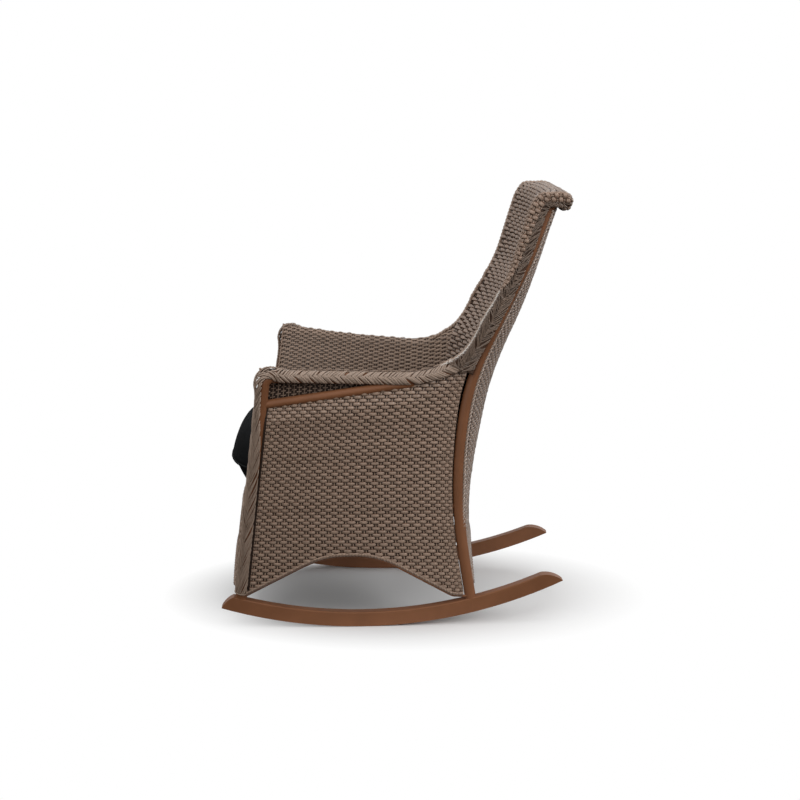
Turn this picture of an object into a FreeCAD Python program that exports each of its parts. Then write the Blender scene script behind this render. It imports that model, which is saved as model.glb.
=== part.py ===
"""Outdoor rocking chair: bent tube frame on two flat rockers, woven panels, loose seat cushion.

The chair faces -Y, +Z is up and +X is the sitter's left. The origin is on the floor, under
the middle of the chair. All sizes are millimetres.
"""
import FreeCAD, Part
import Sketcher

import math
import os

from FreeCAD import Placement, Rotation, Vector

DRIVING_SIZES = (
    ("tube_diameter", 28.0, "leg, arm, stile and crest tube, outside"),
    ("tube_wall", 2.0, "wall of that tube"),
    ("rail_diameter", 22.0, "seat rails and side rails, outside"),
    ("rail_wall", 1.6, "wall of those rails"),
    ("rod_diameter", 8.0, "solid rod in the wings and under the crest"),
    ("hem_diameter", 6.0, "solid rod along the arched lower hems"),
    ("rocker_radius", 1200.0, "lower edge of a rocker"),
    ("rocker_depth", 37.0, "height of the rocker bar"),
    ("rocker_thickness", 28.0, "width of the rocker bar"),
    ("rocker_edge", 3.0, "rounding of its upper edges"),
    ("rocker_low_y", -74.0, "where the rockers touch the floor"),
    ("rocker_reach", 431.0, "rocker tip in front of and behind the origin"),
    ("rocker_front_nose", 22.0, "length of the sloped front end"),
    ("rocker_rear_nose", 47.0, "length of the sloped rear end"),
    ("rocker_half_gap", 238.5, "middle of a rocker from the middle of the chair"),
    ("rocker_toe_angle", 3.23, "rockers converge towards the rear, degrees each"),
    ("stile_half_gap", 227.5, "rear stile from the middle of the chair"),
    ("seat_rail_height", 306.0, "middle of the seat rails above the floor"),
    ("seat_rail_bow", 20.0, "forward bow of the front seat rail"),
    ("crest_rail_y", 412.0, "middle of the crest rail behind the origin"),
    ("crest_rail_height", 1066.0, "middle of the crest rail above the floor"),
    ("weave_thickness", 3.6, "woven panel, as a solid sheet of the same weight"),
    ("braid_thickness", 3.5, "braid laid on the arm tube"),
    ("deck_thickness", 4.0, "webbing deck under the cushion"),
)

SIDES = (("left", 1.0), ("right", -1.0))

# Bending tables: corners of each tube's centreline and the bend radius at each inner corner.
STILE_CORNERS_YZ = ((200.2, 46.0), (149.0, 364.0), (193.1, 632.7), (328.5, 920.9), (380.9, 1066.0),
                    (426.0, 1066.0))
STILE_RADII = (1150.0, 600.0, 800.0, 30.0)
ARM_CORNERS = ((254.0, -386.0, 45.0), (364.0, -304.0, 660.0), (300.0, -142.0, 646.0),
               (256.0, 75.0, 634.0), (229.0, 205.0, 680.0))
ARM_RADII = (20.0, 700.0, 260.0)
SIDE_RAIL_ENDS = ((351.7, -312.9, 590.0), (258.0, 50.0, 626.0))
WING_ROD_CORNERS = ((236.0, 193.0, 684.0), (239.5, 275.0, 836.0), (239.5, 329.0, 972.0),
                    (238.5, 357.0, 1064.0))
WING_ROD_RADII = (400.0, 500.0)

# Guide lines of the woven back, as (y, z) from the seat up and over the crest.
WING_EDGE_YZ = ((131.0, 322.0), (137.0, 500.0), (150.0, 640.0), (168.0, 690.0), (189.0, 722.0),
                (222.0, 783.0), (254.0, 838.0), (281.0, 892.0), (307.0, 972.0), (322.0, 1021.0),
                (338.0, 1064.0), (353.0, 1081.5), (380.0, 1084.5), (412.0, 1084.5))
BACK_MIDDLE_YZ = ((145.0, 322.0), (181.0, 490.0), (224.0, 620.0), (243.0, 668.0), (262.0, 716.0),
                  (287.0, 780.0), (309.0, 834.0), (333.0, 892.0), (356.0, 958.0), (368.0, 1012.0),
                  (374.0, 1052.0), (384.0, 1078.0), (398.0, 1084.5), (412.0, 1084.5))
BACK_HALF_WIDTHS = (204.0, 211.0, 216.0, 219.0, 243.0, 249.0, 249.0, 249.0, 249.0, 249.0,
                    248.0, 246.0, 243.0, 241.0)
OUTER_BACK_YZ = ((210.0, 104.0), (198.0, 200.0), (198.0, 304.0), (208.0, 386.0), (226.0, 484.0),
                 (247.0, 580.0), (268.0, 644.0), (293.0, 707.0), (321.0, 770.0), (355.0, 862.0),
                 (378.0, 940.0), (400.0, 1020.0), (408.0, 1046.0))
WING_BRAID_FRONT_YZ = ((174.0, 702.0), (222.0, 783.0), (254.0, 838.0), (281.0, 892.0),
                       (307.0, 972.0), (322.0, 1021.0), (338.0, 1064.0), (353.0, 1083.0),
                       (385.0, 1086.0), (415.0, 1085.0), (428.0, 1075.0))
WING_BRAID_REAR_YZ = ((190.0, 664.0), (248.0, 764.0), (279.0, 824.0), (304.0, 876.0),
                      (342.0, 970.0), (356.0, 1010.0), (368.0, 1040.0), (378.0, 1052.0),
                      (395.0, 1053.0), (414.0, 1051.0), (426.0, 1056.0))
WING_BRAID_X = (257.5, 251.0)

# Arched lower hems, as outlines in the plane of each panel.
SIDE_HEM_YZ = ((-376.0, 86.0), (-178.0, 190.0), (-42.0, 190.0), (150.0, 80.0), (186.0, 78.0))
SIDE_HEM_RADII = (230.0, 230.0, 30.0)
APRON_HEM_XZ = ((-262.0, 90.0), (-130.0, 182.0), (130.0, 182.0), (262.0, 90.0))
BACK_HEM_XZ = ((-230.0, 98.0), (-110.0, 190.0), (110.0, 190.0), (230.0, 98.0))
CROSS_HEM_RADIUS = 160.0
HEM_GAP = 0.8

# Upper edge of the side panels, as (y, z), and the woven arm linings' lower corners, as (x, y).
SIDE_TOP_YZ = ((-296.0, 578.0), (50.0, 611.0), (100.0, 625.0), (142.0, 638.0))
LINING_LOW_XY = ((280.0, -336.0), (209.0, 125.0))
LINING_TOP_Y = (-298.0, 138.0)
LINING_FLARE = 1.5

# Clearances and insets between the woven skins and the tubes that carry them.
SEAT_RAIL_INSET = 8.0
CREST_FORM_YZ = (386.0, 1058.0)
WING_POWER = 3.0
CREST_ROW_CROWDING = 0.6
OUTER_BACK_EDGE_INSET = 4.0
OUTER_BACK_STANDOFF = 19.5
APRON_ABOVE_RAIL = 10.0
APRON_LEG_INSET = 18.0
APRON_STANDOFF = 15.0
SIDE_PANEL_OFFSET = 10.0
SIDE_FRONT_GAP = 17.0
SIDE_REAR_GAP = 23.0
LINING_ABOVE_RAIL = 8.0
LINING_ARM_GAP = 18.6
LINING_ARM_RISE = 6.0
BRAID_FOOT_HEIGHT = 94.0
BRAID_REAR_END = (237.5, 164.0, 665.5)
BRAID_SPAN = (-35.0, 122.0)
DECK_CORNERS = ((267.0, -345.0), (201.0, 124.0))
SAMPLES = 500

# Seat cushion: plan at the seam, and how far each level is drawn in from it, as (z, inset).
CUSHION_FRONT = -359.0
CUSHION_FRONT_BOW = 62.0
CUSHION_REAR = 136.0
CUSHION_HALF_WIDTHS = (272.0, 204.0)
CUSHION_UNDERSIDE = ((321.6, 58.0), (330.0, 42.0), (345.0, 30.0), (362.0, 21.0), (385.0, 11.0),
                     (400.0, 0.0))
CUSHION_CROWN = ((400.0, 0.0), (435.0, 8.0), (467.0, 20.0), (498.0, 36.0), (521.0, 56.0),
                 (537.0, 86.0), (546.0, 126.0), (550.0, 175.0))
CUSHION_CORNER_POWER = 5.0
CUSHION_OUTLINE_POINTS = 36

doc = FreeCAD.newDocument("outdoor_rocking_chair")
sheet = doc.addObject("Spreadsheet::Sheet", "sizes")
parts = []


def fill_sheet():
    """Write the driving sizes, their aliases and what they measure."""
    for row, (alias, value, meaning) in enumerate(DRIVING_SIZES, start=1):
        sheet.set("A%d" % row, meaning)
        sheet.set("B%d" % row, "%g" % value)
        sheet.setAlias("B%d" % row, alias)
    doc.recompute()


def size(alias):
    """A driving size as a plain number."""
    return float(sheet.get(alias))


def keep(obj, name):
    """Name a finished sub-part and list it for export."""
    obj.Label = name
    parts.append(obj)
    return obj


def mirrored(points, side):
    """Points of the sitter's left side, or their mirror image."""
    return [Vector(side * x, y, z) for x, y, z in points]


# Helpers for bent tubes.

def bent_wire(corners, radii):
    """Straight runs joined by tangent arcs, one radius for each inner corner."""
    edges = []
    start = corners[0]
    for before, corner, after, radius in zip(corners, corners[1:], corners[2:], radii):
        incoming = (before - corner).normalize()
        outgoing = (after - corner).normalize()
        half_angle = incoming.getAngle(outgoing) / 2.0
        tangent_length = radius / math.tan(half_angle)
        middle_reach = radius / math.sin(half_angle) - radius
        bisector = (incoming + outgoing).normalize()
        arc_start = corner + incoming * tangent_length
        arc_end = corner + outgoing * tangent_length
        edges.append(Part.LineSegment(start, arc_start).toShape())
        edges.append(Part.Arc(arc_start, corner + bisector * middle_reach, arc_end).toShape())
        start = arc_end
    edges.append(Part.LineSegment(start, corners[-1]).toShape())
    return Part.Wire(edges)


def path_object(name, wire):
    """A document object that holds a centreline."""
    path = doc.addObject("Part::Feature", name + "_path")
    path.Shape = wire
    return path


def swept_disc(name, path, radius_expression):
    """A round bar along a path, its radius bound to the sheet."""
    first_edge = path.Shape.Wires[0].OrderedEdges[0]
    start = first_edge.valueAt(first_edge.FirstParameter)
    direction = first_edge.tangentAt(first_edge.FirstParameter)
    disc = doc.addObject("Part::Circle", name + "_profile")
    disc.setExpression("Radius", radius_expression)
    disc.Placement = Placement(start, Rotation(Vector(0, 0, 1), direction))
    sweep = doc.addObject("Part::Sweep", name)
    sweep.Sections = [disc]
    sweep.Spine = (path, [])
    sweep.Solid = True
    sweep.Frenet = False
    return sweep


def cut(name, base, tool):
    """What is left of base after tool is taken away."""
    result = doc.addObject("Part::Cut", name)
    result.Base = base
    result.Tool = tool
    return result


def joined(name, shapes):
    """Several objects as one cutting tool."""
    fuse = doc.addObject("Part::MultiFuse", name)
    fuse.Shapes = shapes
    return fuse


def tube(name, wire, diameter, wall, cut_by=None):
    """A tube along a wire. Returns its solid envelope, which other pieces are coped against."""
    path = path_object(name, wire)
    envelope = swept_disc(name + "_envelope", path, "sizes.%s / 2" % diameter)
    bore = swept_disc(name + "_bore", path, "sizes.%s / 2 - sizes.%s" % (diameter, wall))
    result = cut(name + "_hollow", envelope, bore)
    if cut_by is not None:
        result = cut(name + "_coped", result, cut_by)
    keep(result, name)
    return envelope


def rod(name, wire, diameter, cut_by=None):
    """A solid rod along a wire."""
    result = swept_disc(name + "_rod", path_object(name, wire), "sizes.%s / 2" % diameter)
    if cut_by is not None:
        result = cut(name + "_coped", result, cut_by)
    return keep(result, name)


# Helpers for woven panels.

def knots_along(points):
    """Where each point lies on the line through them, as a share of its length."""
    lengths = [0.0]
    for first, second in zip(points, points[1:]):
        lengths.append(lengths[-1] + math.dist(first, second))
    return [length / lengths[-1] for length in lengths]


def spline_point(points, knots, t):
    """A point at t, from 0 to 1, on the smooth line that passes its points at the knots."""
    t = min(max(t, 0.0), 1.0)
    last = len(points) - 1
    index = max(i for i in range(last) if knots[i] <= t)

    def slope(i, axis):
        first, second = max(i - 1, 0), min(i + 1, last)
        before = knots[i] - knots[first]
        after = knots[second] - knots[i]
        rises = [0.0, 0.0]
        if before > 0:
            rises[0] = (points[i][axis] - points[first][axis]) / before
        if after > 0:
            rises[1] = (points[second][axis] - points[i][axis]) / after
        if before == 0 or after == 0:
            return rises[0] + rises[1]
        return (rises[0] * after + rises[1] * before) / (before + after)

    span = knots[index + 1] - knots[index]
    f = (t - knots[index]) / span
    values = []
    for axis, (start, end) in enumerate(zip(points[index], points[index + 1])):
        values.append(start * (1 + 2 * f) * (1 - f) ** 2 + end * f * f * (3 - 2 * f)
                      + slope(index, axis) * span * f * (1 - f) ** 2
                      - slope(index + 1, axis) * span * f * f * (1 - f))
    return values


def share_at_height(points, knots, height):
    """The t at which the line through (y, z) points reaches a height."""
    low, high = 0.0, 1.0
    for _ in range(30):
        middle = (low + high) / 2.0
        if spline_point(points, knots, middle)[1] < height:
            low = middle
        else:
            high = middle
    return low


def panel_skins(surface, u_values, v_values, half_thickness):
    """The two faces of a panel, half its thickness to each side of surface(u, v)."""
    step = 1e-3
    outer, inner = [], []
    for u in u_values:
        outer_row, inner_row = [], []
        for v in v_values:
            point = surface(u, v)
            across = surface(min(u + step, 1.0), v) - surface(max(u - step, 0.0), v)
            along = surface(u, min(v + step, 1.0)) - surface(u, max(v - step, 0.0))
            normal = across.cross(along).normalize()
            outer_row.append(point + normal * half_thickness)
            inner_row.append(point - normal * half_thickness)
        outer.append(outer_row)
        inner.append(inner_row)
    skins = []
    for grid in (outer, inner):
        skin = Part.BSplineSurface()
        skin.interpolate(grid)
        skins.append(skin)
    return skins


def woven_panel(name, surface, u_count, v_count, thickness=None, crowding=0.0):
    """A closed shell of even thickness around surface(u, v), its rows closer where v is high."""
    half = (thickness or size("weave_thickness")) / 2.0
    v_steps = [v + crowding * v * (1.0 - v) for v in even_steps(v_count)]
    outer, inner = panel_skins(surface, even_steps(u_count), v_steps, half)
    faces = [outer.toShape(), inner.toShape()]
    u_low, u_high, v_low, v_high = outer.bounds()
    for value in (u_low, u_high):
        faces.append(Part.makeRuledSurface(outer.uIso(value).toShape(), inner.uIso(value).toShape()))
    for value in (v_low, v_high):
        faces.append(Part.makeRuledSurface(outer.vIso(value).toShape(), inner.vIso(value).toShape()))
    sewn = Part.Compound(faces)
    sewn.sewShape()
    solid = Part.Solid(sewn.Shells[0])
    if solid.Volume < 0:
        solid.reverse()
    feature = doc.addObject("Part::Feature", name + "_panel")
    feature.Shape = solid
    return keep(feature, name)


def even_steps(count):
    """Values from 0 to 1."""
    return [i / (count - 1.0) for i in range(count)]


# Rockers.

def rocker(name, side):
    """A flat bar with concentric curved edges and sloped noses."""
    radius = size("rocker_radius")
    depth = size("rocker_depth")
    low = size("rocker_low_y")
    reach = size("rocker_reach")
    centre = Vector(low, radius, 0)
    front_angle = math.asin((-reach - low) / radius)
    rear_angle = math.asin((reach - low) / radius)
    top_radius = radius - depth
    front_top = front_angle + size("rocker_front_nose") / top_radius
    rear_top = rear_angle - size("rocker_rear_nose") / top_radius
    body = doc.addObject("PartDesign::Body", name + "_body")
    sketch = body.newObject("Sketcher::SketchObject", name + "_outline")
    plane = [f for f in body.Origin.OriginFeatures if f.Role == "YZ_Plane"][0]
    sketch.AttachmentSupport = [(plane, "")]
    sketch.MapMode = "FlatFace"
    down = -math.pi / 2.0
    axis = Vector(0, 0, 1)
    lower = sketch.addGeometry(Part.ArcOfCircle(
        Part.Circle(centre, axis, radius), down + front_angle, down + rear_angle), False)
    upper = sketch.addGeometry(Part.ArcOfCircle(
        Part.Circle(centre, axis, top_radius), down + front_top, down + rear_top), False)

    def on_arc(arc_radius, angle):
        return centre + Vector(arc_radius * math.sin(angle), -arc_radius * math.cos(angle), 0)

    noses = []
    for bottom_angle, top_angle, bulge in ((front_angle, front_top, 4.0), (rear_angle, rear_top, 5.0)):
        bottom = on_arc(radius, bottom_angle)
        top = on_arc(top_radius, top_angle)
        middle_angle = (bottom_angle + top_angle) / 2.0
        outward = on_arc(radius - depth / 2.0 - bulge, middle_angle + (bottom_angle - top_angle) * 0.12)
        arc = Part.Arc(top, outward, bottom) if bottom_angle > top_angle else Part.Arc(bottom, outward, top)
        noses.append(sketch.addGeometry(arc, False))
    front_nose, rear_nose = noses
    for first, first_end, second, second_end in (
            (lower, 1, front_nose, 2), (upper, 1, front_nose, 1),
            (lower, 2, rear_nose, 1), (upper, 2, rear_nose, 2)):
        ends = (sketch.getPoint(second, 1), sketch.getPoint(second, 2))
        target = sketch.getPoint(first, first_end)
        nearest = 1 if (ends[0] - target).Length < (ends[1] - target).Length else 2
        sketch.addConstraint(Sketcher.Constraint("Coincident", first, first_end, second, nearest))
    sketch.addConstraint(Sketcher.Constraint("Coincident", lower, 3, upper, 3))
    for kind, geometry, value, expression in (
            ("Radius", lower, radius, "sizes.rocker_radius"),
            ("Radius", upper, top_radius, "sizes.rocker_radius - sizes.rocker_depth")):
        index = sketch.addConstraint(Sketcher.Constraint(kind, geometry, value))
        sketch.setExpression("Constraints[%d]" % index, expression)
    index = sketch.addConstraint(Sketcher.Constraint("DistanceY", -1, 1, lower, 3, radius))
    sketch.setExpression("Constraints[%d]" % index, "sizes.rocker_radius")
    index = sketch.addConstraint(Sketcher.Constraint("DistanceX", lower, 3, -1, 1, -low))
    sketch.setExpression("Constraints[%d]" % index, "-sizes.rocker_low_y")
    index = sketch.addConstraint(Sketcher.Constraint("DistanceX", lower, 1, lower, 2, 2 * reach))
    sketch.setExpression("Constraints[%d]" % index, "2 * sizes.rocker_reach")
    pad = body.newObject("PartDesign::Pad", name + "_pad")
    pad.Profile = sketch
    pad.Midplane = True
    pad.setExpression("Length", "sizes.rocker_thickness")
    doc.recompute()
    top_edges = ["Edge%d" % (i + 1) for i, edge in enumerate(pad.Shape.Edges)
                 if isinstance(edge.Curve, Part.Circle) and abs(edge.Curve.Radius - top_radius) < 1.0]
    rounding = body.newObject("PartDesign::Fillet", name + "_rounding")
    rounding.Base = (pad, top_edges)
    rounding.setExpression("Radius", "sizes.rocker_edge")
    body.Tip = rounding
    body.setExpression("Placement.Base.x", "%g * sizes.rocker_half_gap" % side)
    body.Placement.Rotation = Rotation(Vector(0, 0, 1), side * size("rocker_toe_angle"))
    return keep(body, name)


# Lines that the panels follow.

def line_at(samples, axis, value):
    """The point of a sampled line where one coordinate has a value."""
    for first, second in zip(samples, samples[1:]):
        low, high = first[axis], second[axis]
        if low <= value <= high and high > low:
            return first + (second - first) * ((value - low) / (high - low))
    return samples[0] if value < samples[0][axis] else samples[-1]


def stile_wire(side):
    """Centreline of a rear stile, from inside the rocker to the rear of the crest."""
    gap = size("stile_half_gap")
    return bent_wire(mirrored([(gap, y, z) for y, z in STILE_CORNERS_YZ], side), STILE_RADII)


def stile_y(height):
    """Middle of the rear stile at a height."""
    return line_at(stile_samples, 2, height).y


def leg_point(height, side, inset=0.0):
    """Middle of the front leg at a height, moved towards the middle of the chair by inset."""
    foot = Vector(*ARM_CORNERS[0])
    top = Vector(*ARM_CORNERS[1])
    point = foot + (top - foot) * ((height - foot.z) / (top.z - foot.z))
    return Vector(side * (point.x - inset), point.y, point.z)


def straight(start, end):
    """A wire of one straight run."""
    return Part.Wire([Part.makeLine(start, end)])


# Frame.

def build_posts(word, side):
    """One side's rocker, rear stile, front leg and arm, and what joins them."""
    base = rocker("rocker_" + word, side)
    stile = tube("rear_stile_" + word, stile_wire(side), "tube_diameter", "tube_wall", base)
    ends = joined("arm_ends_" + word, [base, stile])
    arm = tube("arm_frame_" + word, bent_wire(mirrored(ARM_CORNERS, side), ARM_RADII),
               "tube_diameter", "tube_wall", ends)
    posts = joined("posts_" + word, [stile, arm])
    tube("side_rail_" + word, straight(*mirrored(SIDE_RAIL_ENDS, side)),
         "rail_diameter", "rail_wall", posts)
    height = size("seat_rail_height")
    rear_end = Vector(side * (size("stile_half_gap") - SEAT_RAIL_INSET), stile_y(height), height)
    seat_rail = tube("seat_side_rail_" + word,
                     straight(leg_point(height, side, SEAT_RAIL_INSET), rear_end),
                     "rail_diameter", "rail_wall", posts)
    rod("wing_rod_" + word, bent_wire(mirrored(WING_ROD_CORNERS, side), WING_ROD_RADII),
        "rod_diameter", posts)
    return posts, seat_rail


def build_cross_rails(posts, seat_rails):
    """The rails that run from side to side."""
    height = size("seat_rail_height")
    gap = size("stile_half_gap")
    supports = joined("supports", posts + seat_rails)
    left = leg_point(height, 1.0)
    right = leg_point(height, -1.0)
    middle = Vector(0, left.y - size("seat_rail_bow"), height)
    tube("seat_front_rail", Part.Wire([Part.Arc(left, middle, right).toShape()]),
         "rail_diameter", "rail_wall", supports)
    rear_y = stile_y(height)
    tube("seat_rear_rail", straight(Vector(gap, rear_y, height), Vector(-gap, rear_y, height)),
         "rail_diameter", "rail_wall", supports)
    crest_y = size("crest_rail_y")
    crest_z = size("crest_rail_height")
    tube("crest_rail", straight(Vector(gap, crest_y, crest_z), Vector(-gap, crest_y, crest_z)),
         "tube_diameter", "tube_wall", supports)
    form_y, form_z = CREST_FORM_YZ
    rod("crest_form_rod", straight(Vector(gap, form_y, form_z), Vector(-gap, form_y, form_z)),
        "rod_diameter", supports)
    return supports


# Woven panels.

def back_surface(u, v):
    """Inner back from left to right (u) and from the seat up and over the crest (v)."""
    s = 1.0 - 2.0 * u
    wing = spline_point(WING_EDGE_YZ, back_knots, v)
    middle = spline_point(BACK_MIDDLE_YZ, back_knots, v)
    half_width = spline_point([(width,) for width in BACK_HALF_WIDTHS], back_knots, v)[0]
    share = abs(s) ** WING_POWER
    return Vector(s * half_width, middle[0] + (wing[0] - middle[0]) * share,
                  middle[1] + (wing[1] - middle[1]) * share)


def outer_back_surface(u, v):
    """Outer back: a shallow arc from stile to stile, fullest behind the arms."""
    s = 1.0 - 2.0 * u
    x = s * (size("stile_half_gap") - OUTER_BACK_EDGE_INSET)
    low = line_at(back_hem_samples, 0, x).z
    high = OUTER_BACK_YZ[-1][1]
    z = low + (high - low) * v
    share = share_at_height(OUTER_BACK_YZ, outer_back_knots, z)
    middle_y = spline_point(OUTER_BACK_YZ, outer_back_knots, share)[0]
    edge_y = stile_y(z) + OUTER_BACK_STANDOFF
    return Vector(x, edge_y + (middle_y - edge_y) * (1.0 - s * s), z)


def front_bow(x, height):
    """How far the front is bowed forward of the legs at a distance x from the middle."""
    share = x / leg_point(height, 1.0).x
    return size("seat_rail_bow") * (1.0 - share * share)


def apron_surface(u, v):
    """Woven front under the seat, bowed like the front seat rail."""
    s = 1.0 - 2.0 * u
    high = size("seat_rail_height") + APRON_ABOVE_RAIL
    low = line_at(apron_hem_samples, 0, s * APRON_HEM_XZ[-1][0]).z
    z = low + (high - low) * v
    leg = leg_point(z, 1.0, APRON_LEG_INSET)
    x = s * leg.x
    return Vector(x, leg.y - APRON_STANDOFF - front_bow(x, z), z)


def side_surface(side):
    """Woven outer side between the front leg and the rear stile."""
    def surface(u, v):
        z = 300.0
        for _ in range(4):
            leg = leg_point(z, 1.0, -SIDE_PANEL_OFFSET)
            front_y = leg.y + SIDE_FRONT_GAP
            rear_y = stile_y(z) - SIDE_REAR_GAP
            y = front_y + (rear_y - front_y) * u
            low = line_at(side_hem_samples, 1, y).z
            high = line_at(side_top_samples, 1, y).z
            z = low + (high - low) * v
        x = leg.x + (size("stile_half_gap") + SIDE_PANEL_OFFSET - leg.x) * u
        return Vector(side * x, y, z)
    return surface


def lining_surface(side):
    """Woven inside of an arm, from the seat up to the arm tube, flaring outwards."""
    def surface(u, v):
        (front_x, front_y), (rear_x, rear_y) = LINING_LOW_XY
        low = Vector(front_x + (rear_x - front_x) * u, front_y + (rear_y - front_y) * u,
                     size("seat_rail_height") + LINING_ABOVE_RAIL)
        top_y = LINING_TOP_Y[0] + (LINING_TOP_Y[1] - LINING_TOP_Y[0]) * u
        arm = line_at(arm_samples, 1, top_y)
        high = Vector(arm.x - LINING_ARM_GAP, arm.y, arm.z + LINING_ARM_RISE)
        point = low + (high - low) * v
        x = low.x + (high.x - low.x) * v ** LINING_FLARE
        return Vector(side * x, point.y, point.z)
    return surface


def wing_braid_surface(side):
    """Braided outer face of a wing and of the crest's end, outside the stile."""
    def surface(u, v):
        front = spline_point(WING_BRAID_FRONT_YZ, wing_knots, v)
        rear = spline_point(WING_BRAID_REAR_YZ, wing_knots, v)
        x = WING_BRAID_X[0] + (WING_BRAID_X[1] - WING_BRAID_X[0]) * u
        return Vector(side * x, front[0] + (rear[0] - front[0]) * u,
                      front[1] + (rear[1] - front[1]) * u)
    return surface


def arm_braid(name, side):
    """A braid laid round the front and outer side of the leg and the arm, open at the back."""
    start = leg_point(BRAID_FOOT_HEIGHT, side)
    corners = [start] + mirrored(ARM_CORNERS[1:-1], side) + mirrored([BRAID_REAR_END], side)
    path = bent_wire(corners, ARM_RADII)
    along = (corners[1] - corners[0]).normalize()
    outward = Vector(side, 0, 0)
    outward = (outward - along * outward.dot(along)).normalize()
    forward = outward.cross(along) * side
    inner = size("tube_diameter") / 2.0
    outer = inner + size("braid_thickness")
    low, high = (math.radians(angle) for angle in BRAID_SPAN)

    def at(radius, angle):
        return start + (outward * math.cos(angle) + forward * math.sin(angle)) * radius

    middle = (low + high) / 2.0
    section = Part.Wire([
        Part.Arc(at(outer, low), at(outer, middle), at(outer, high)).toShape(),
        Part.makeLine(at(outer, high), at(inner, high)),
        Part.Arc(at(inner, high), at(inner, middle), at(inner, low)).toShape(),
        Part.makeLine(at(inner, low), at(outer, low))])
    feature = doc.addObject("Part::Feature", name + "_braid")
    feature.Shape = path.makePipeShell([section], True, False)
    return keep(feature, name)


def hem_rod(name, points, radii, supports):
    """A rod that carries a panel's arched lower edge."""
    rod(name, bent_wire(points, radii), "hem_diameter", supports)


def build_hem_rods(supports):
    """The arched rods under the sides, the apron and the outer back."""
    drop = size("hem_diameter") / 2.0 + HEM_GAP
    for word, side in SIDES:
        points = []
        for y, z in SIDE_HEM_YZ:
            share = (y - SIDE_HEM_YZ[0][0]) / (SIDE_HEM_YZ[-1][0] - SIDE_HEM_YZ[0][0])
            front_x = leg_point(z, 1.0, -SIDE_PANEL_OFFSET).x
            x = front_x + (size("stile_half_gap") + SIDE_PANEL_OFFSET - front_x) * share
            points.append(Vector(side * x, y, z - drop))
        hem_rod("side_hem_rod_" + word, points, SIDE_HEM_RADII, supports)
    apron = []
    for x, z in APRON_HEM_XZ:
        s = x / APRON_HEM_XZ[-1][0]
        y = leg_point(z, 1.0).y - APRON_STANDOFF * (1.0 - s ** 4) - front_bow(x, z)
        apron.append(Vector(x, y, z - drop))
    hem_rod("apron_hem_rod", apron, (CROSS_HEM_RADIUS, CROSS_HEM_RADIUS), supports)
    back = [Vector(x, stile_y(z) + (OUTER_BACK_STANDOFF if abs(x) < BACK_HEM_XZ[-1][0] else 0.0),
                   z - drop) for x, z in BACK_HEM_XZ]
    hem_rod("back_hem_rod", back, (CROSS_HEM_RADIUS, CROSS_HEM_RADIUS), supports)


def build_panels():
    """All woven skins and braids."""
    woven_panel("back_lining", back_surface, 15, 41, crowding=CREST_ROW_CROWDING)
    woven_panel("outer_back", outer_back_surface, 11, 12)
    woven_panel("front_apron", apron_surface, 13, 4)
    for word, side in SIDES:
        woven_panel("side_panel_" + word, side_surface(side), 15, 4)
        woven_panel("arm_lining_" + word, lining_surface(side), 8, 6)
        woven_panel("wing_braid_" + word, wing_braid_surface(side), 3, 16,
                    size("braid_thickness") + 1.0)
        arm_braid("arm_braid_" + word, side)


# Seat.

def seat_deck():
    """Flat webbing deck that lies on the seat rails."""
    body = doc.addObject("PartDesign::Body", "seat_deck_body")
    sketch = body.newObject("Sketcher::SketchObject", "seat_deck_outline")
    plane = [f for f in body.Origin.OriginFeatures if f.Role == "XY_Plane"][0]
    sketch.AttachmentSupport = [(plane, "")]
    sketch.MapMode = "FlatFace"
    sketch.setExpression("AttachmentOffset.Base.z", "sizes.seat_rail_height + sizes.rail_diameter / 2")
    (front_half, front_y), (rear_half, rear_y) = DECK_CORNERS
    front_left = Vector(front_half, front_y, 0)
    front_right = Vector(-front_half, front_y, 0)
    rear_left = Vector(rear_half, rear_y, 0)
    rear_right = Vector(-rear_half, rear_y, 0)
    bow = Vector(0, front_y - size("seat_rail_bow"), 0)
    sketch.addGeometry(Part.LineSegment(front_left, rear_left), False)
    sketch.addGeometry(Part.LineSegment(rear_left, rear_right), False)
    sketch.addGeometry(Part.LineSegment(rear_right, front_right), False)
    sketch.addGeometry(Part.Arc(front_right, bow, front_left), False)
    sketch.addConstraint(Sketcher.Constraint("Coincident", 0, 2, 1, 1))
    sketch.addConstraint(Sketcher.Constraint("Coincident", 1, 2, 2, 1))
    pad = body.newObject("PartDesign::Pad", "seat_deck_pad")
    pad.Profile = sketch
    pad.setExpression("Length", "sizes.deck_thickness")
    doc.recompute()
    body.Tip = pad
    return keep(body, "seat_deck")


def even_round(points, count):
    """Evenly spaced points on the closed line through the given ones."""
    closed = points + [points[0]]
    knots = knots_along(closed)
    spaced = []
    for i in range(count):
        index = max(k for k in range(len(points)) if knots[k] <= i / count)
        share = (i / count - knots[index]) / (knots[index + 1] - knots[index])
        spaced.append(closed[index] + (closed[index + 1] - closed[index]) * share)
    return spaced


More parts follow.
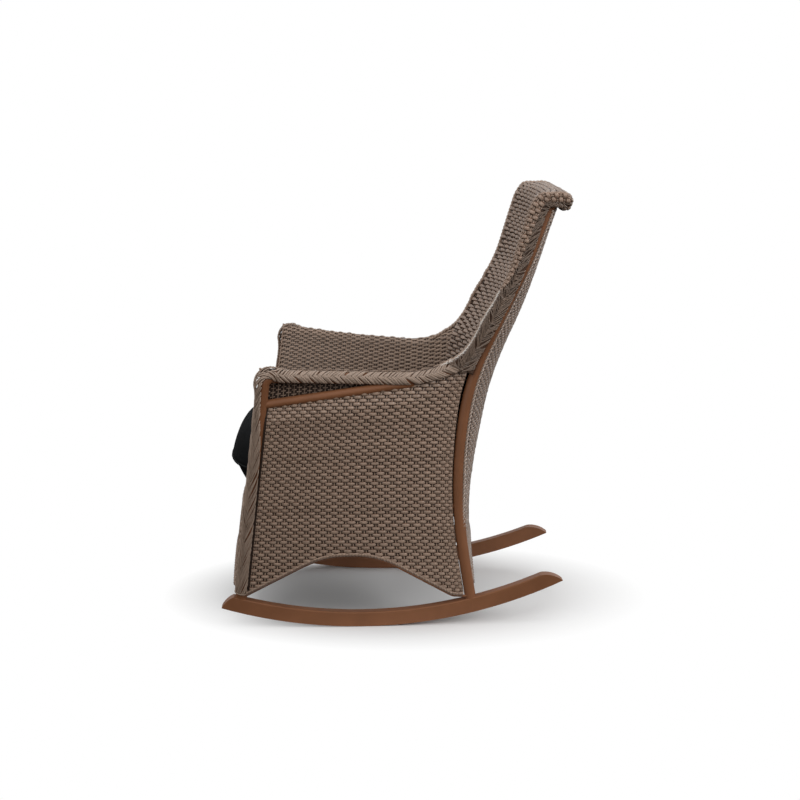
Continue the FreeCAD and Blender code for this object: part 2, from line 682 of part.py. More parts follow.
def cushion_outline(height, inset):
    """Plan of the cushion at a level: a wide front with a bow, a narrower straight rear."""
    middle_y = (CUSHION_FRONT + CUSHION_REAR) / 2.0
    half_depth = (CUSHION_REAR - CUSHION_FRONT) / 2.0 - inset
    power = 2.0 / CUSHION_CORNER_POWER
    points = []
    for index in range(SAMPLES):
        angle = 2.0 * math.pi * index / SAMPLES - math.pi / 2.0
        across = math.copysign(abs(math.cos(angle)) ** power, math.cos(angle))
        back = math.copysign(abs(math.sin(angle)) ** power, math.sin(angle))
        front_half, rear_half = CUSHION_HALF_WIDTHS
        half_width = (front_half + rear_half) / 2.0 + (rear_half - front_half) / 2.0 * back - inset
        y = middle_y + half_depth * back
        if back < 0:
            y -= CUSHION_FRONT_BOW * (1.0 - across * across) * back * back
        points.append(Vector(half_width * across, y, height))
    curve = Part.BSplineCurve()
    curve.interpolate(even_round(points, CUSHION_OUTLINE_POINTS), True)
    return Part.Wire([curve.toShape()])


def seat_cushion():
    """Loose cushion: a flat underside, a seam all round and a crowned top."""
    halves = [Part.makeLoft([cushion_outline(z, inset) for z, inset in levels], True, False)
              for levels in (CUSHION_UNDERSIDE, CUSHION_CROWN)]
    feature = doc.addObject("Part::Feature", "seat_cushion_form")
    feature.Shape = halves[0].fuse(halves[1])
    return keep(feature, "seat_cushion")


def export_parts():
    """Check every object, then write one STEP file for each sub-part."""
    doc.recompute()
    faults = [o.Label for o in doc.Objects if "Invalid" in o.State or "Error" in o.State]
    faults += [o.Label for o in parts if o.Shape.isNull() or not o.Shape.isValid()]
    if faults:
        raise RuntimeError("failed: " + ", ".join(faults))
    os.makedirs("parts", exist_ok=True)
    for obj in parts:
        print("%-22s solids %d  volume %9.0f mm3" % (obj.Label, len(obj.Shape.Solids), obj.Shape.Volume))
        obj.Shape.exportStep("parts/%s.step" % obj.Label)


fill_sheet()
back_knots = knots_along(BACK_MIDDLE_YZ)
outer_back_knots = knots_along(OUTER_BACK_YZ)
wing_knots = knots_along(WING_BRAID_FRONT_YZ)
stile_samples = stile_wire(1.0).discretize(Number=SAMPLES)
arm_samples = bent_wire(mirrored(ARM_CORNERS, 1.0), ARM_RADII).discretize(Number=SAMPLES)
side_hem_samples = bent_wire([Vector(0, y, z) for y, z in SIDE_HEM_YZ],
                             SIDE_HEM_RADII).discretize(Number=SAMPLES)
side_top_samples = [Vector(0, y, z) for y, z in SIDE_TOP_YZ]
apron_hem_samples = bent_wire([Vector(x, 0, z) for x, z in APRON_HEM_XZ],
                              (CROSS_HEM_RADIUS, CROSS_HEM_RADIUS)).discretize(Number=SAMPLES)
back_hem_samples = bent_wire([Vector(x, 0, z) for x, z in BACK_HEM_XZ],
                             (CROSS_HEM_RADIUS, CROSS_HEM_RADIUS)).discretize(Number=SAMPLES)
built = [build_posts(word, side) for word, side in SIDES]
cross_supports = build_cross_rails([posts for posts, _ in built], [rail for _, rail in built])
build_hem_rods(cross_supports)
build_panels()
seat_deck()
seat_cushion()
export_parts()
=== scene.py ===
"""Looks of the outdoor rocking chair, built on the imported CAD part.

Metres, +Z up, the chair faces -Y. The guide lines are those of the CAD part, in millimetres,
so that every strand lies on the skin that the CAD gives it. Panels of the left side (+X) are
woven once and mirrored.
"""

import math

import bpy
import numpy as np
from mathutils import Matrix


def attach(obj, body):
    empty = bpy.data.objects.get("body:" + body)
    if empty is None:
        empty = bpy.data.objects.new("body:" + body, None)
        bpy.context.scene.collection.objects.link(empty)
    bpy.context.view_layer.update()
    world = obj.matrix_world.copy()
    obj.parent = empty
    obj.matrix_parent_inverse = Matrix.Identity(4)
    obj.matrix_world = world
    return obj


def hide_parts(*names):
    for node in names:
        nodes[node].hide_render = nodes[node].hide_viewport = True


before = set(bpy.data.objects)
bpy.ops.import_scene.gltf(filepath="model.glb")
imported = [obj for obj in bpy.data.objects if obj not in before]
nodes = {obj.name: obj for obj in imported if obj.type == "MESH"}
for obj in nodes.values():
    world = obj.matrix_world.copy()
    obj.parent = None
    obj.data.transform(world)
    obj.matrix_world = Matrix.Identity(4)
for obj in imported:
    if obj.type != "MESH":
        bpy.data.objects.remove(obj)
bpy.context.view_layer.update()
chance = np.random.default_rng(27)

# Guide lines and sizes of the CAD part, in millimetres.
TUBE_RADIUS = 14.0
STILE_HALF_GAP = 227.5
STILE_YZ = ((200.2, 46.0), (149.0, 364.0), (193.1, 632.7), (328.5, 920.9), (380.9, 1066.0),
            (426.0, 1066.0))
STILE_RADII = (1150.0, 600.0, 800.0, 30.0)
ARM_CORNERS = ((254.0, -386.0, 45.0), (364.0, -304.0, 660.0), (300.0, -142.0, 646.0),
               (256.0, 75.0, 634.0), (229.0, 205.0, 680.0))
ARM_RADII = (20.0, 700.0, 260.0)
ARM_OVER_FRONT = (371.9, -324.0, 661.7)
WING_EDGE_YZ = ((131.0, 322.0), (137.0, 500.0), (150.0, 640.0), (168.0, 690.0), (189.0, 722.0),
                (222.0, 783.0), (254.0, 838.0), (281.0, 892.0), (307.0, 972.0), (322.0, 1021.0),
                (338.0, 1064.0), (353.0, 1081.5), (380.0, 1084.5), (412.0, 1084.5))
BACK_MIDDLE_YZ = ((145.0, 322.0), (181.0, 490.0), (224.0, 620.0), (243.0, 668.0), (262.0, 716.0),
                  (287.0, 780.0), (309.0, 834.0), (333.0, 892.0), (356.0, 958.0), (368.0, 1012.0),
                  (374.0, 1052.0), (384.0, 1078.0), (398.0, 1084.5), (412.0, 1084.5))
BACK_HALF_WIDTHS = (204.0, 211.0, 216.0, 219.0, 243.0, 249.0, 249.0, 249.0, 249.0, 249.0,
                    248.0, 246.0, 243.0, 241.0)
OUTER_BACK_YZ = ((210.0, 104.0), (198.0, 200.0), (198.0, 304.0), (208.0, 386.0), (226.0, 484.0),
                 (247.0, 580.0), (268.0, 644.0), (293.0, 707.0), (321.0, 770.0), (355.0, 862.0),
                 (378.0, 940.0), (400.0, 1020.0), (408.0, 1046.0))
WING_FRONT_YZ = ((138.0, 676.0), (174.0, 702.0), (222.0, 783.0), (254.0, 838.0), (281.0, 892.0),
                 (307.0, 972.0), (322.0, 1021.0), (338.0, 1064.0), (353.0, 1083.0),
                 (385.0, 1086.0), (415.0, 1085.0), (428.0, 1075.0))
WING_REAR_YZ = ((196.0, 644.0), (206.0, 674.0), (255.0, 761.0), (286.0, 821.0), (310.0, 873.0),
                (347.0, 968.0), (360.0, 1009.0), (370.0, 1039.0), (378.0, 1052.0),
                (395.0, 1053.0), (414.0, 1051.0), (426.0, 1056.0))
WING_X = (257.5, 251.0)
WING_RIM_END = 0.40
WING_COVER = ((0.42, 0.56, 0.67, 0.78, 1.0), (0.12, 0.40, 0.50, 0.58, 0.60))
SIDE_HEM_YZ = ((-376.0, 86.0), (-178.0, 190.0), (-42.0, 190.0), (150.0, 80.0), (186.0, 78.0))
SIDE_HEM_RADII = (230.0, 230.0, 30.0)
APRON_HEM_XZ = ((-262.0, 90.0), (-130.0, 182.0), (130.0, 182.0), (262.0, 90.0))
BACK_HEM_XZ = ((-230.0, 98.0), (-110.0, 190.0), (110.0, 190.0), (230.0, 98.0))
CROSS_HEM_RADII = (160.0, 160.0)
SIDE_TOP_YZ = ((-296.0, 578.0), (40.0, 611.0), (70.0, 620.0), (100.0, 632.0), (142.0, 651.0),
               (170.0, 664.0))
LINING_LOW_XY = ((280.0, -336.0), (209.0, 125.0))
LINING_LOW_Z = 314.0
LINING_TOP_Y = (-298.0, 138.0)
LINING_REACH = (-0.035, 1.06)
LINING_TOP_OFFSET = (-18.6, 6.0)
LINING_FLARE = 1.5
CREST_WRAP_RADIUS = 18.5
BRAID_FOOT_Z = 94.0
BRAID_REAR_END = (232.5, 188.0, 674.0)
SEAT_RAIL_HEIGHT = 306.0
SEAT_BOW = 20.0
DECK_CORNERS = ((267.0, -345.0), (201.0, 124.0))
CUSHION_FRONT = -359.0
CUSHION_FRONT_BOW = 62.0
CUSHION_REAR = 136.0
CUSHION_HALF_WIDTHS = (272.0, 204.0)
CUSHION_CORNER_POWER = 5.0
CUSHION_SEAM_Z = 400.0

# Cushion cover, in metres.
COVER_VOXEL = 0.006
COVER_INSET = 0.0005
COVER_PRESSURE = 6.0
COVER_MOST_MOVED = 0.009
SEAM_BAND = 0.004
WELT_RADIUS = 0.0030

# The weave: flat resin strand over and under thin stakes. The sizes that are shares go with
# the distance between two rows.
STAKE_PITCH = 0.0150
ROW_PITCH = 0.0085
BACK_ROW_PITCH = 0.0099
LINING_STAKE_PITCH = 0.0140
LINING_ROW_PITCH = 0.0054
STAKE_RADIUS_SHARE = 0.25
WEAVE_RISE_SHARE = 0.30
BACK_RISE_SHARE = 0.38
STRAND_HALF_THICKNESS_SHARE = 0.17
FLOAT_HALF_WIDTH_SHARE = 0.60
CROSSING_HALF_WIDTH_SHARE = 0.28
SAMPLES_PER_STAKE = 5
# Depth of the dark sheet that paints shade behind the weave.
SHADE_SHEET_DEPTH = 0.0006
HEM_PLY = 0.0018

# Outlines of a strand's cross-section, as (across, up) shares.
FLAT_STRAND = ((-1.0, -0.2), (-0.55, 0.8), (0.55, 0.8), (1.0, -0.2), (0.0, -0.8))
ROUND_STRAND = tuple((-math.cos(a), math.sin(a)) for a in np.arange(6) * math.pi / 3)


# Lines.

def unit(vectors):
    """Vectors of length 1."""
    return vectors / np.maximum(np.linalg.norm(vectors, axis=-1, keepdims=True), 1e-12)


def metres(points):
    return np.array(points, float) / 1000.0


def share_of_length(points):
    """Where each point lies on the line through them, as a share of its length."""
    steps = np.linalg.norm(np.diff(points, axis=0), axis=1)
    return np.concatenate([[0.0], np.cumsum(steps)]) / steps.sum()


def smooth_line(points, knots):
    """The function of t, from 0 to 1, for the smooth line that passes the points at the knots."""
    widths = np.diff(knots)[:, None]
    rises = np.diff(points, axis=0) / widths
    inner = rises[:-1] * widths[1:] + rises[1:] * widths[:-1]
    slopes = np.vstack([rises[:1], inner / (widths[:-1] + widths[1:]), rises[-1:]])

    def line(t):
        t = np.clip(t, 0.0, 1.0)
        i = np.clip(np.searchsorted(knots, t, side="right") - 1, 0, len(knots) - 2)
        span = (knots[i + 1] - knots[i])[..., None]
        f = (t - knots[i])[..., None] / span
        ends = points[i] * (1 + 2 * f) * (1 - f) ** 2 + points[i + 1] * f * f * (3 - 2 * f)
        return ends + slopes[i] * span * f * (1 - f) ** 2 - slopes[i + 1] * span * f * f * (1 - f)
    return line


def evenly(points, step):
    """Points at an even distance along a line."""
    shares = share_of_length(points)
    length = np.linalg.norm(np.diff(points, axis=0), axis=1).sum()
    wanted = np.linspace(0, 1, max(int(length / step), 2) + 1)
    return np.stack([np.interp(wanted, shares, points[:, i]) for i in range(points.shape[1])], 1)


def bent_line(corners, radii, step=0.003):
    """Straight runs joined by tangent arcs, as in a bent tube, in metres."""
    corners = metres(corners)
    parts = [corners[:1]]
    for before, corner, after, radius in zip(corners, corners[1:], corners[2:], metres(radii)):
        incoming, outgoing = unit(before - corner), unit(after - corner)
        half = math.acos(np.dot(incoming, outgoing)) / 2
        centre = corner + unit(incoming + outgoing) * radius / math.sin(half)
        first = corner + incoming * radius / math.tan(half) - centre
        last = corner + outgoing * radius / math.tan(half) - centre
        sweep = math.pi - 2 * half
        shares = np.linspace(0, 1, 40)[:, None]
        turned = first * np.sin((1 - shares) * sweep) + last * np.sin(shares * sweep)
        parts.append(centre + turned / math.sin(sweep))
    parts.append(corners[-1:])
    return evenly(np.vstack(parts), step)


def along(line, axis, values):
    """Points of a sampled line where one coordinate has each value."""
    return np.stack([np.interp(values, line[:, axis], line[:, i])
                     for i in range(line.shape[1])], axis=-1)


back_points = metres(BACK_MIDDLE_YZ)
back_knots = share_of_length(back_points)
BACK_LENGTH = np.linalg.norm(np.diff(back_points, axis=0), axis=1).sum()
back_middle = smooth_line(back_points, back_knots)
back_wing = smooth_line(metres(WING_EDGE_YZ), back_knots)
back_width = smooth_line(metres(BACK_HALF_WIDTHS)[:, None], back_knots)
outer_points = metres(OUTER_BACK_YZ)
outer_line = smooth_line(outer_points, share_of_length(outer_points))(np.linspace(0, 1, 400))
wing_front = smooth_line(metres(WING_FRONT_YZ), share_of_length(metres(WING_FRONT_YZ)))
wing_rear = smooth_line(metres(WING_REAR_YZ), share_of_length(metres(WING_FRONT_YZ)))
stile = bent_line(STILE_YZ, STILE_RADII)
arm_over = bent_line([ARM_OVER_FRONT] + list(ARM_CORNERS[2:]), ARM_RADII[1:])
side_hem = bent_line(SIDE_HEM_YZ, SIDE_HEM_RADII)
side_top = metres(SIDE_TOP_YZ)
apron_hem = bent_line(APRON_HEM_XZ, CROSS_HEM_RADII)
back_hem = bent_line(BACK_HEM_XZ, CROSS_HEM_RADII)


def leg_at(z):
    """Middle of the left front leg at heights z, as x and y."""
    foot, top = metres(ARM_CORNERS[0]), metres(ARM_CORNERS[1])
    share = (z - foot[2]) / (top[2] - foot[2])
    return foot[0] + (top[0] - foot[0]) * share, foot[1] + (top[1] - foot[1]) * share


def stile_y(z):
    return np.interp(z, stile[:, 1], stile[:, 0])


# Skins: each gives points for u, along a row, and v, up a stake.

def back_skin(u, v):
    """Inner back, v in metres up its middle, then round the crest rail."""
    s = 1.0 - 2.0 * u
    middle, wing = back_middle(v / BACK_LENGTH), back_wing(v / BACK_LENGTH)
    yz = middle + (wing - middle) * (np.abs(s) ** 3)[..., None]
    turn = np.maximum(v - BACK_LENGTH, 0.0) * 1000.0 / CREST_WRAP_RADIUS
    y = yz[..., 0] + np.sin(turn) * CREST_WRAP_RADIUS / 1000.0
    z = yz[..., 1] - (1.0 - np.cos(turn)) * CREST_WRAP_RADIUS / 1000.0
    return np.stack([s * back_width(v / BACK_LENGTH)[..., 0], y, z], axis=-1)


def outer_back_skin(u, z):
    s = 1.0 - 2.0 * u
    edge = stile_y(z) + np.interp(z, (0.20, 0.45), (0.0105, 0.0195))
    middle = np.interp(z, outer_line[:, 1], outer_line[:, 0])
    return np.stack([s * 0.2235, edge + (middle - edge) * (1.0 - s * s), z + 0.0 * s], axis=-1)


def front_bow(x, z):
    return SEAT_BOW / 1000.0 * (1.0 - (x / leg_at(z)[0]) ** 2)


def apron_skin(u, z):
    s = 1.0 - 2.0 * u
    leg_x, leg_y = leg_at(z)
    x = s * (leg_x - 0.018)
    return np.stack([x, leg_y - 0.015 - front_bow(x, z), z + 0.0 * s], axis=-1)


def side_skin(u, z):
    leg_x, leg_y = leg_at(z)
    front = leg_y + 0.0125
    rear = stile_y(z) - 0.017 - 0.005 * np.clip((z - 0.45) / 0.15, 0.0, 1.0)
    y = front + (rear - front) * u
    below_top = np.interp(y, side_top[:, 0], side_top[:, 1]) - z
    behind_rail = 0.008 * np.clip(1.0 - below_top / 0.030, 0.0, 1.0)
    x = leg_x + 0.010 - behind_rail + (STILE_HALF_GAP / 1000.0 - leg_x) * u
    return np.stack([x, y, z + 0.0 * u], axis=-1)


LINING_LENGTH = 0.340
LINING_ARC_RADIUS = math.hypot(*LINING_TOP_OFFSET) / 1000.0
LINING_ARC_START = math.atan2(LINING_TOP_OFFSET[1], LINING_TOP_OFFSET[0])


def lining_skin(u, v):
    """Inside of an arm: v from 0 to 1 up to the arm tube, then over the top of the tube."""
    (front_x, front_y), (rear_x, rear_y) = metres(LINING_LOW_XY)
    top_front, top_rear = metres(LINING_TOP_Y)
    u = LINING_REACH[0] + (LINING_REACH[1] - LINING_REACH[0]) * u
    centre = along(arm_over, 1, top_front + (top_rear - top_front) * u)
    low_x, low_y = front_x + (rear_x - front_x) * u, front_y + (rear_y - front_y) * u
    low_z = LINING_LOW_Z / 1000.0
    angle = LINING_ARC_START - np.maximum(v - 1.0, 0.0) * LINING_LENGTH / LINING_ARC_RADIUS
    high_x = centre[..., 0] + LINING_ARC_RADIUS * np.cos(angle)
    high_z = centre[..., 2] + LINING_ARC_RADIUS * np.sin(angle)
    rise = np.clip(v, 0.0, 1.0)
    return np.stack([low_x + (high_x - low_x) * rise ** LINING_FLARE,
                     low_y + (centre[..., 1] - low_y) * rise,
                     low_z + (high_z - low_z) * rise], axis=-1)


def wing_skin(u, v):
    """Outer face of a wing and of the crest's end, u from front to rear, v upwards."""
    yz = wing_front(v) * (1.0 - u)[..., None] + wing_rear(v) * u[..., None]
    x = (WING_X[0] + (WING_X[1] - WING_X[0]) * u) / 1000.0
    return np.stack([x, yz[..., 0], yz[..., 1]], axis=-1)


def skin_frame(skin, u, v, facing):
    """Points of a skin and the direction that its visible side faces."""
    step = 1e-3
    across = skin(u + step, v) - skin(u - step, v)
    upwards = skin(u, v + step) - skin(u, v - step)
    return skin(u, v), unit(np.cross(across, upwards)) * facing


# Strands.

class Strands:
    """Closed strands, collected as one mesh. UVs are metres along and across a strand."""

    def __init__(self):
        self.points, self.uvs, self.quads, self.caps = [], [], [], []
        self.count = 0

    def add(self, centres, out, half_width, half_thickness, section=FLAT_STRAND):
        """One strand through centres (n, 3), or several at once (m, n, 3)."""
        out = np.broadcast_to(out, centres.shape)
        if centres.ndim == 2:
            centres, out = centres[None], out[None]
        strands, rings = centres.shape[:2]
        corners = len(section)
        half_width = np.broadcast_to(half_width, (strands, rings))[..., None, None]
        tangent = unit(np.gradient(centres, axis=1))
        across = unit(np.cross(out, tangent))
        up = np.cross(tangent, across)
        shape = np.array(section)
        sideways = across[:, :, None] * shape[:, :1] * half_width
        top_light_share = up[:, :, None] * shape[:, 1:] * half_thickness
        self.points.append((centres[:, :, None] + sideways + top_light_share).reshape(-1, 3))
        steps = np.linalg.norm(np.diff(centres, axis=1), axis=2)
        length = np.concatenate([np.zeros((strands, 1)), np.cumsum(steps, axis=1)], axis=1)
        length = np.broadcast_to(length[..., None], (strands, rings, corners))
        across_uv = np.broadcast_to(shape[:, 0] * half_width[..., 0], (strands, rings, corners))
        self.uvs.append(np.stack([length, across_uv], axis=-1).reshape(-1, 2))
        index = self.count + np.arange(strands * rings * corners).reshape(strands, rings, corners)
        near, far = index[:, :-1], index[:, 1:]
        quads = np.stack([near, far, np.roll(far, -1, axis=2), np.roll(near, -1, axis=2)], axis=-1)
        self.quads.append(quads.reshape(-1, 4))
        self.caps.append(index[:, 0])
        self.caps.append(index[:, -1, ::-1])
        self.count += strands * rings * corners

    def add_sheet(self, points, out, half_thickness):
        """A closed thin sheet around a grid of points, which run anticlockwise about out."""
        rows, columns = points.shape[:2]
        self.points.append(np.concatenate([points + out * half_thickness,
                                           points - out * half_thickness]).reshape(-1, 3))
        self.uvs.append(self.points[-1][:, 1:])
        front = self.count + np.arange(rows * columns).reshape(rows, columns)
        behind = front + rows * columns
        faces = np.stack([front[:-1, :-1], front[:-1, 1:], front[1:, 1:], front[1:, :-1]], axis=-1)
        self.quads.append(faces.reshape(-1, 4))
        self.quads.append((faces + rows * columns).reshape(-1, 4)[:, ::-1])
        rim = np.concatenate([np.arange(columns), np.arange(2, rows + 1) * columns - 1,
                              np.arange(rows * columns - 2, (rows - 1) * columns - 1, -1),
                              np.arange(rows - 2, -1, -1) * columns])
        edge, edge_behind = front.ravel()[rim], behind.ravel()[rim]
        self.quads.append(np.stack([edge[:-1], edge_behind[:-1], edge_behind[1:], edge[1:]], axis=-1))
        self.count += 2 * rows * columns

    def build(self, name, material, mirror=False):
        """The mesh object, or its mirror image in the middle plane of the chair."""
        points = np.vstack(self.points) * ((-1.0, 1.0, 1.0) if mirror else (1.0, 1.0, 1.0))
        faces = [np.vstack(self.quads)] + self.caps
        if mirror:
            faces = [group[:, ::-1] for group in faces]
        loops = np.concatenate([group.ravel() for group in faces])
        sizes = np.concatenate([np.full(len(group), group.shape[1]) for group in faces])
        mesh = bpy.data.meshes.new(name)
        mesh.vertices.add(len(points))
        mesh.vertices.foreach_set("co", points.ravel())
        mesh.loops.add(len(loops))
        mesh.loops.foreach_set("vertex_index", loops.astype(np.int32))
        mesh.polygons.add(len(sizes))
        starts = np.concatenate([[0], np.cumsum(sizes)[:-1]])
        mesh.polygons.foreach_set("loop_start", starts.astype(np.int32))
        mesh.update(calc_edges=True)
        layer = mesh.uv_layers.new(name="UVMap")
        layer.data.foreach_set("uv", np.vstack(self.uvs)[loops].ravel())
        mesh.polygons.foreach_set("use_smooth", np.ones(len(sizes), bool))
        mesh.materials.append(material)
        piece = bpy.data.objects.new(name, mesh)
        bpy.context.scene.collection.objects.link(piece)
        return piece


def runs_of(mask, shortest=3):
    """First and last index of each unbroken run of True."""
    edges = np.flatnonzero(np.diff(np.concatenate([[0], mask.astype(int), [0]])))
    return [(a, b) for a, b in zip(edges[::2], edges[1::2]) if b - a >= shortest]


def gentle_noise(rows, samples, spacing):
    """Smooth random values, one line for each row."""
    knots = np.arange(0, samples + spacing, spacing)
    values = chance.normal(0.0, 1.0, (rows, len(knots)))
    return np.stack([np.interp(np.arange(samples), knots, line) for line in values])


def weave(strands, skin, facing, stakes, rows_at, inside=None, stake_span=None,
          stake_gaps=((0.0, 1.0), (1.0, 1.0)), row_pitch=ROW_PITCH, rise_share=WEAVE_RISE_SHARE,
          fullness=0.65, stake_share=STAKE_RADIUS_SHARE):
    """Plain weave on a skin, with rows along v = rows_at(u) between the ends of the stakes.
    stake_gaps gives how far apart the stakes are along u, as (share, relative distance), and
    fullness how soon a strand is at its full width."""
    samples = np.linspace(0, 1, stakes * SAMPLES_PER_STAKE + 1)
    pitch = np.interp((samples[1:] + samples[:-1]) / 2.0, *zip(*stake_gaps))
    spread = np.concatenate([[0.0], np.cumsum(pitch)]) / pitch.sum()
    rows = rows_at(spread)
    u = np.broadcast_to(spread, rows.shape)
    points, out = skin_frame(skin, u, rows, facing)
    parity = np.arange(len(rows))[:, None]
    wave = np.clip(1.1 * np.cos(math.pi * (samples * stakes - 0.5 + parity)), -1.0, 1.0)
    wander = gentle_noise(len(rows), len(samples), 9)
    rise = rise_share * row_pitch * (1.0 + 0.10 * gentle_noise(len(rows), len(samples), 4))
    upwards = unit(np.cross(out, np.gradient(points, axis=1)))
    centres = points + out * wave[..., None] * rise[..., None] + upwards * wander[..., None] * 2.5e-4
    widening = FLOAT_HALF_WIDTH_SHARE - CROSSING_HALF_WIDTH_SHARE
    width = (CROSSING_HALF_WIDTH_SHARE + widening * np.clip((wave + fullness) / 0.45, 0, 1)) * row_pitch
    width *= 1.0 + 0.04 * gentle_noise(len(rows), len(samples), 6)
    thickness = STRAND_HALF_THICKNESS_SHARE * row_pitch
    stake_radius = stake_share * row_pitch
    low, high = stake_span or (rows.min(), rows.max())
    keep = (rows >= low) & (rows <= high)
    if inside is not None:
        keep &= inside(points)
    for row in range(len(rows)):
        for first, last in runs_of(keep[row]):
            part = slice(first, last)
            strands.add(centres[row, part], out[row, part], width[row, part], thickness)
    v = np.linspace(low, high, 70)
    for stake in range(stakes):
        line_u = np.full_like(v, np.interp((stake + 0.5) / stakes, samples, spread))
        line, line_out = skin_frame(skin, line_u, v, facing)
        keep = np.ones(len(v), bool) if inside is None else inside(line)
        for first, last in runs_of(keep):
            part = slice(first, last)
            middle = line[part] - line_out[part] * 0.12 * row_pitch
            strands.add(middle, line_out[part], stake_radius, stake_radius, ROUND_STRAND)


def level(value):
    """The same v all along u."""
    return lambda u: np.full_like(u, value)


def backing(skin, facing, low, high, columns=70, rows=40, depth=SHADE_SHEET_DEPTH):
    """Thin dark sheet just behind the stakes, between v = low(u) and v = high(u): painted shade seen
    through the holes of the weave.
    """
    u = np.linspace(0.0, 1.0, columns)[::int(facing)]
    share = np.linspace(0.0, 1.0, rows)[:, None]
    v = low(u) + (high(u) - low(u)) * share
    points, out = skin_frame(skin, np.broadcast_to(u, v.shape), v, facing)
    shade_sheet = Strands()
    shade_sheet.add_sheet(points - out * depth, out, 0.0003)
    return shade_sheet


def twisted_edge(strands, line, out, radius, turn=0.016, plies=2):
    """Strands twisted round each other along a line, as at the rim of a panel."""
    length = np.concatenate([[0.0], np.cumsum(np.linalg.norm(np.diff(line, axis=0), axis=1))])
    tangent = unit(np.gradient(line, axis=0))
    side = unit(np.cross(out, tangent))
    up = np.cross(tangent, side)
    for ply in range(plies):
        phase = (2 * math.pi * (length / turn + ply / plies))[:, None]
        offset = (side * np.cos(phase) + up * np.sin(phase)) * radius * 0.75
        strands.add(line + offset, out, radius, radius, ROUND_STRAND)


def herringbone(strands, place, span, pitch, reach, half_width, rise, tuck=0.0003, plies=1,
                scatter=0.0):
    """Groups of short flat strands from the middle of a band to both edges, which meet in points.
    place(s, t) gives points and outward directions, s in metres along and t -1 to 1 across."""
    begin, end = span
    groups = np.arange(begin - reach(begin), end, pitch)
    groups = groups + chance.normal(0.0, 0.05 * pitch, len(groups))
    ply = np.tile(np.arange(plies) / plies - 0.5 + 0.5 / plies, len(groups))
    starts = np.repeat(groups, plies) + ply * pitch * 0.92
    starts = starts + chance.normal(0.0, scatter * pitch / plies, len(starts))
    rounding = 1.0 - 0.45 * (2.0 * ply) ** 2
    q = np.linspace(-0.14, 1.0, 12)
    profile = np.interp(q, (-0.14, 0.04, 0.2, 0.75, 0.93, 1.0), (0.1, 0.85, 1.0, 0.9, 0.55, 0.0))
    for half, offset in ((-1.0, 0.0), (1.0, pitch / 2)):
        first = starts[:, None] + offset
        stretch = 1.0 + scatter * chance.normal(0.0, 1.0, first.shape)
        s = first + reach(np.clip(first, begin, end)) * stretch * q
        kept = (s[:, -1] > begin + 0.004) & (s[:, 0] < end - 0.004)
        s = np.clip(s[kept], begin, end)
        first, crown = first[kept], rounding[kept, None]
        point, out = place(s, np.broadcast_to(half * q, s.shape))
        jitter = chance.normal(1.0, 0.13, (len(s), 1))
        lift = (rise * profile * jitter * crown - tuck)[..., None]
        near = np.clip(first, begin, end)
        angle = np.arctan2(half_width(near), reach(near))
        taper = np.interp(q, (-0.14, 0.1, 0.9, 1.0), (0.8, 1.0, 1.0, 0.8))
        width = (0.57 + 0.3 * scatter) * pitch / plies * np.sin(angle) * taper
        tangent = unit(np.gradient(point, axis=1))
        tilted = unit(out + 0.22 * half * np.cross(out, tangent))
        strands.add(point + out * lift, tilted, width, 0.0013)


# Materials.

def new_material(name, roughness, **sockets):
    """A material with a principled shader and its constants; returns it with its node tree."""
    material = bpy.data.materials.new(name)
    material.use_nodes = True
    tree = material.node_tree
    shader = tree.nodes["Principled BSDF"]
    shader.inputs["Roughness"].default_value = roughness
    for socket, value in sockets.items():
        shader.inputs[socket.replace("_", " ")].default_value = value
    return material, tree, shader


def add_node(tree, kind, links=(), **settings):
    """A node with its settings and inputs; links are (input name or number, output socket)."""
    node = tree.nodes.new(kind)
    for name, value in settings.items():
        setattr(node, name, value)
    for target, source in links:
        if hasattr(source, "node"):
            tree.links.new(source, node.inputs[target])
        else:
            node.inputs[target].default_value = source
    return node


def colour_ramp(tree, factor, stops):
    """A ramp over (position, linear colour) stops."""
    node = add_node(tree, "ShaderNodeValToRGB", [(0, factor)])
    ramp = node.color_ramp
    while len(ramp.elements) < len(stops):
        ramp.elements.new(0.5)
    for element, (position, colour) in zip(ramp.elements, stops):
        element.position = position
        element.color = (*colour, 1.0)
    return node.outputs["Color"]


def scaled(colour, factor):
    return tuple(channel * factor for channel in colour)


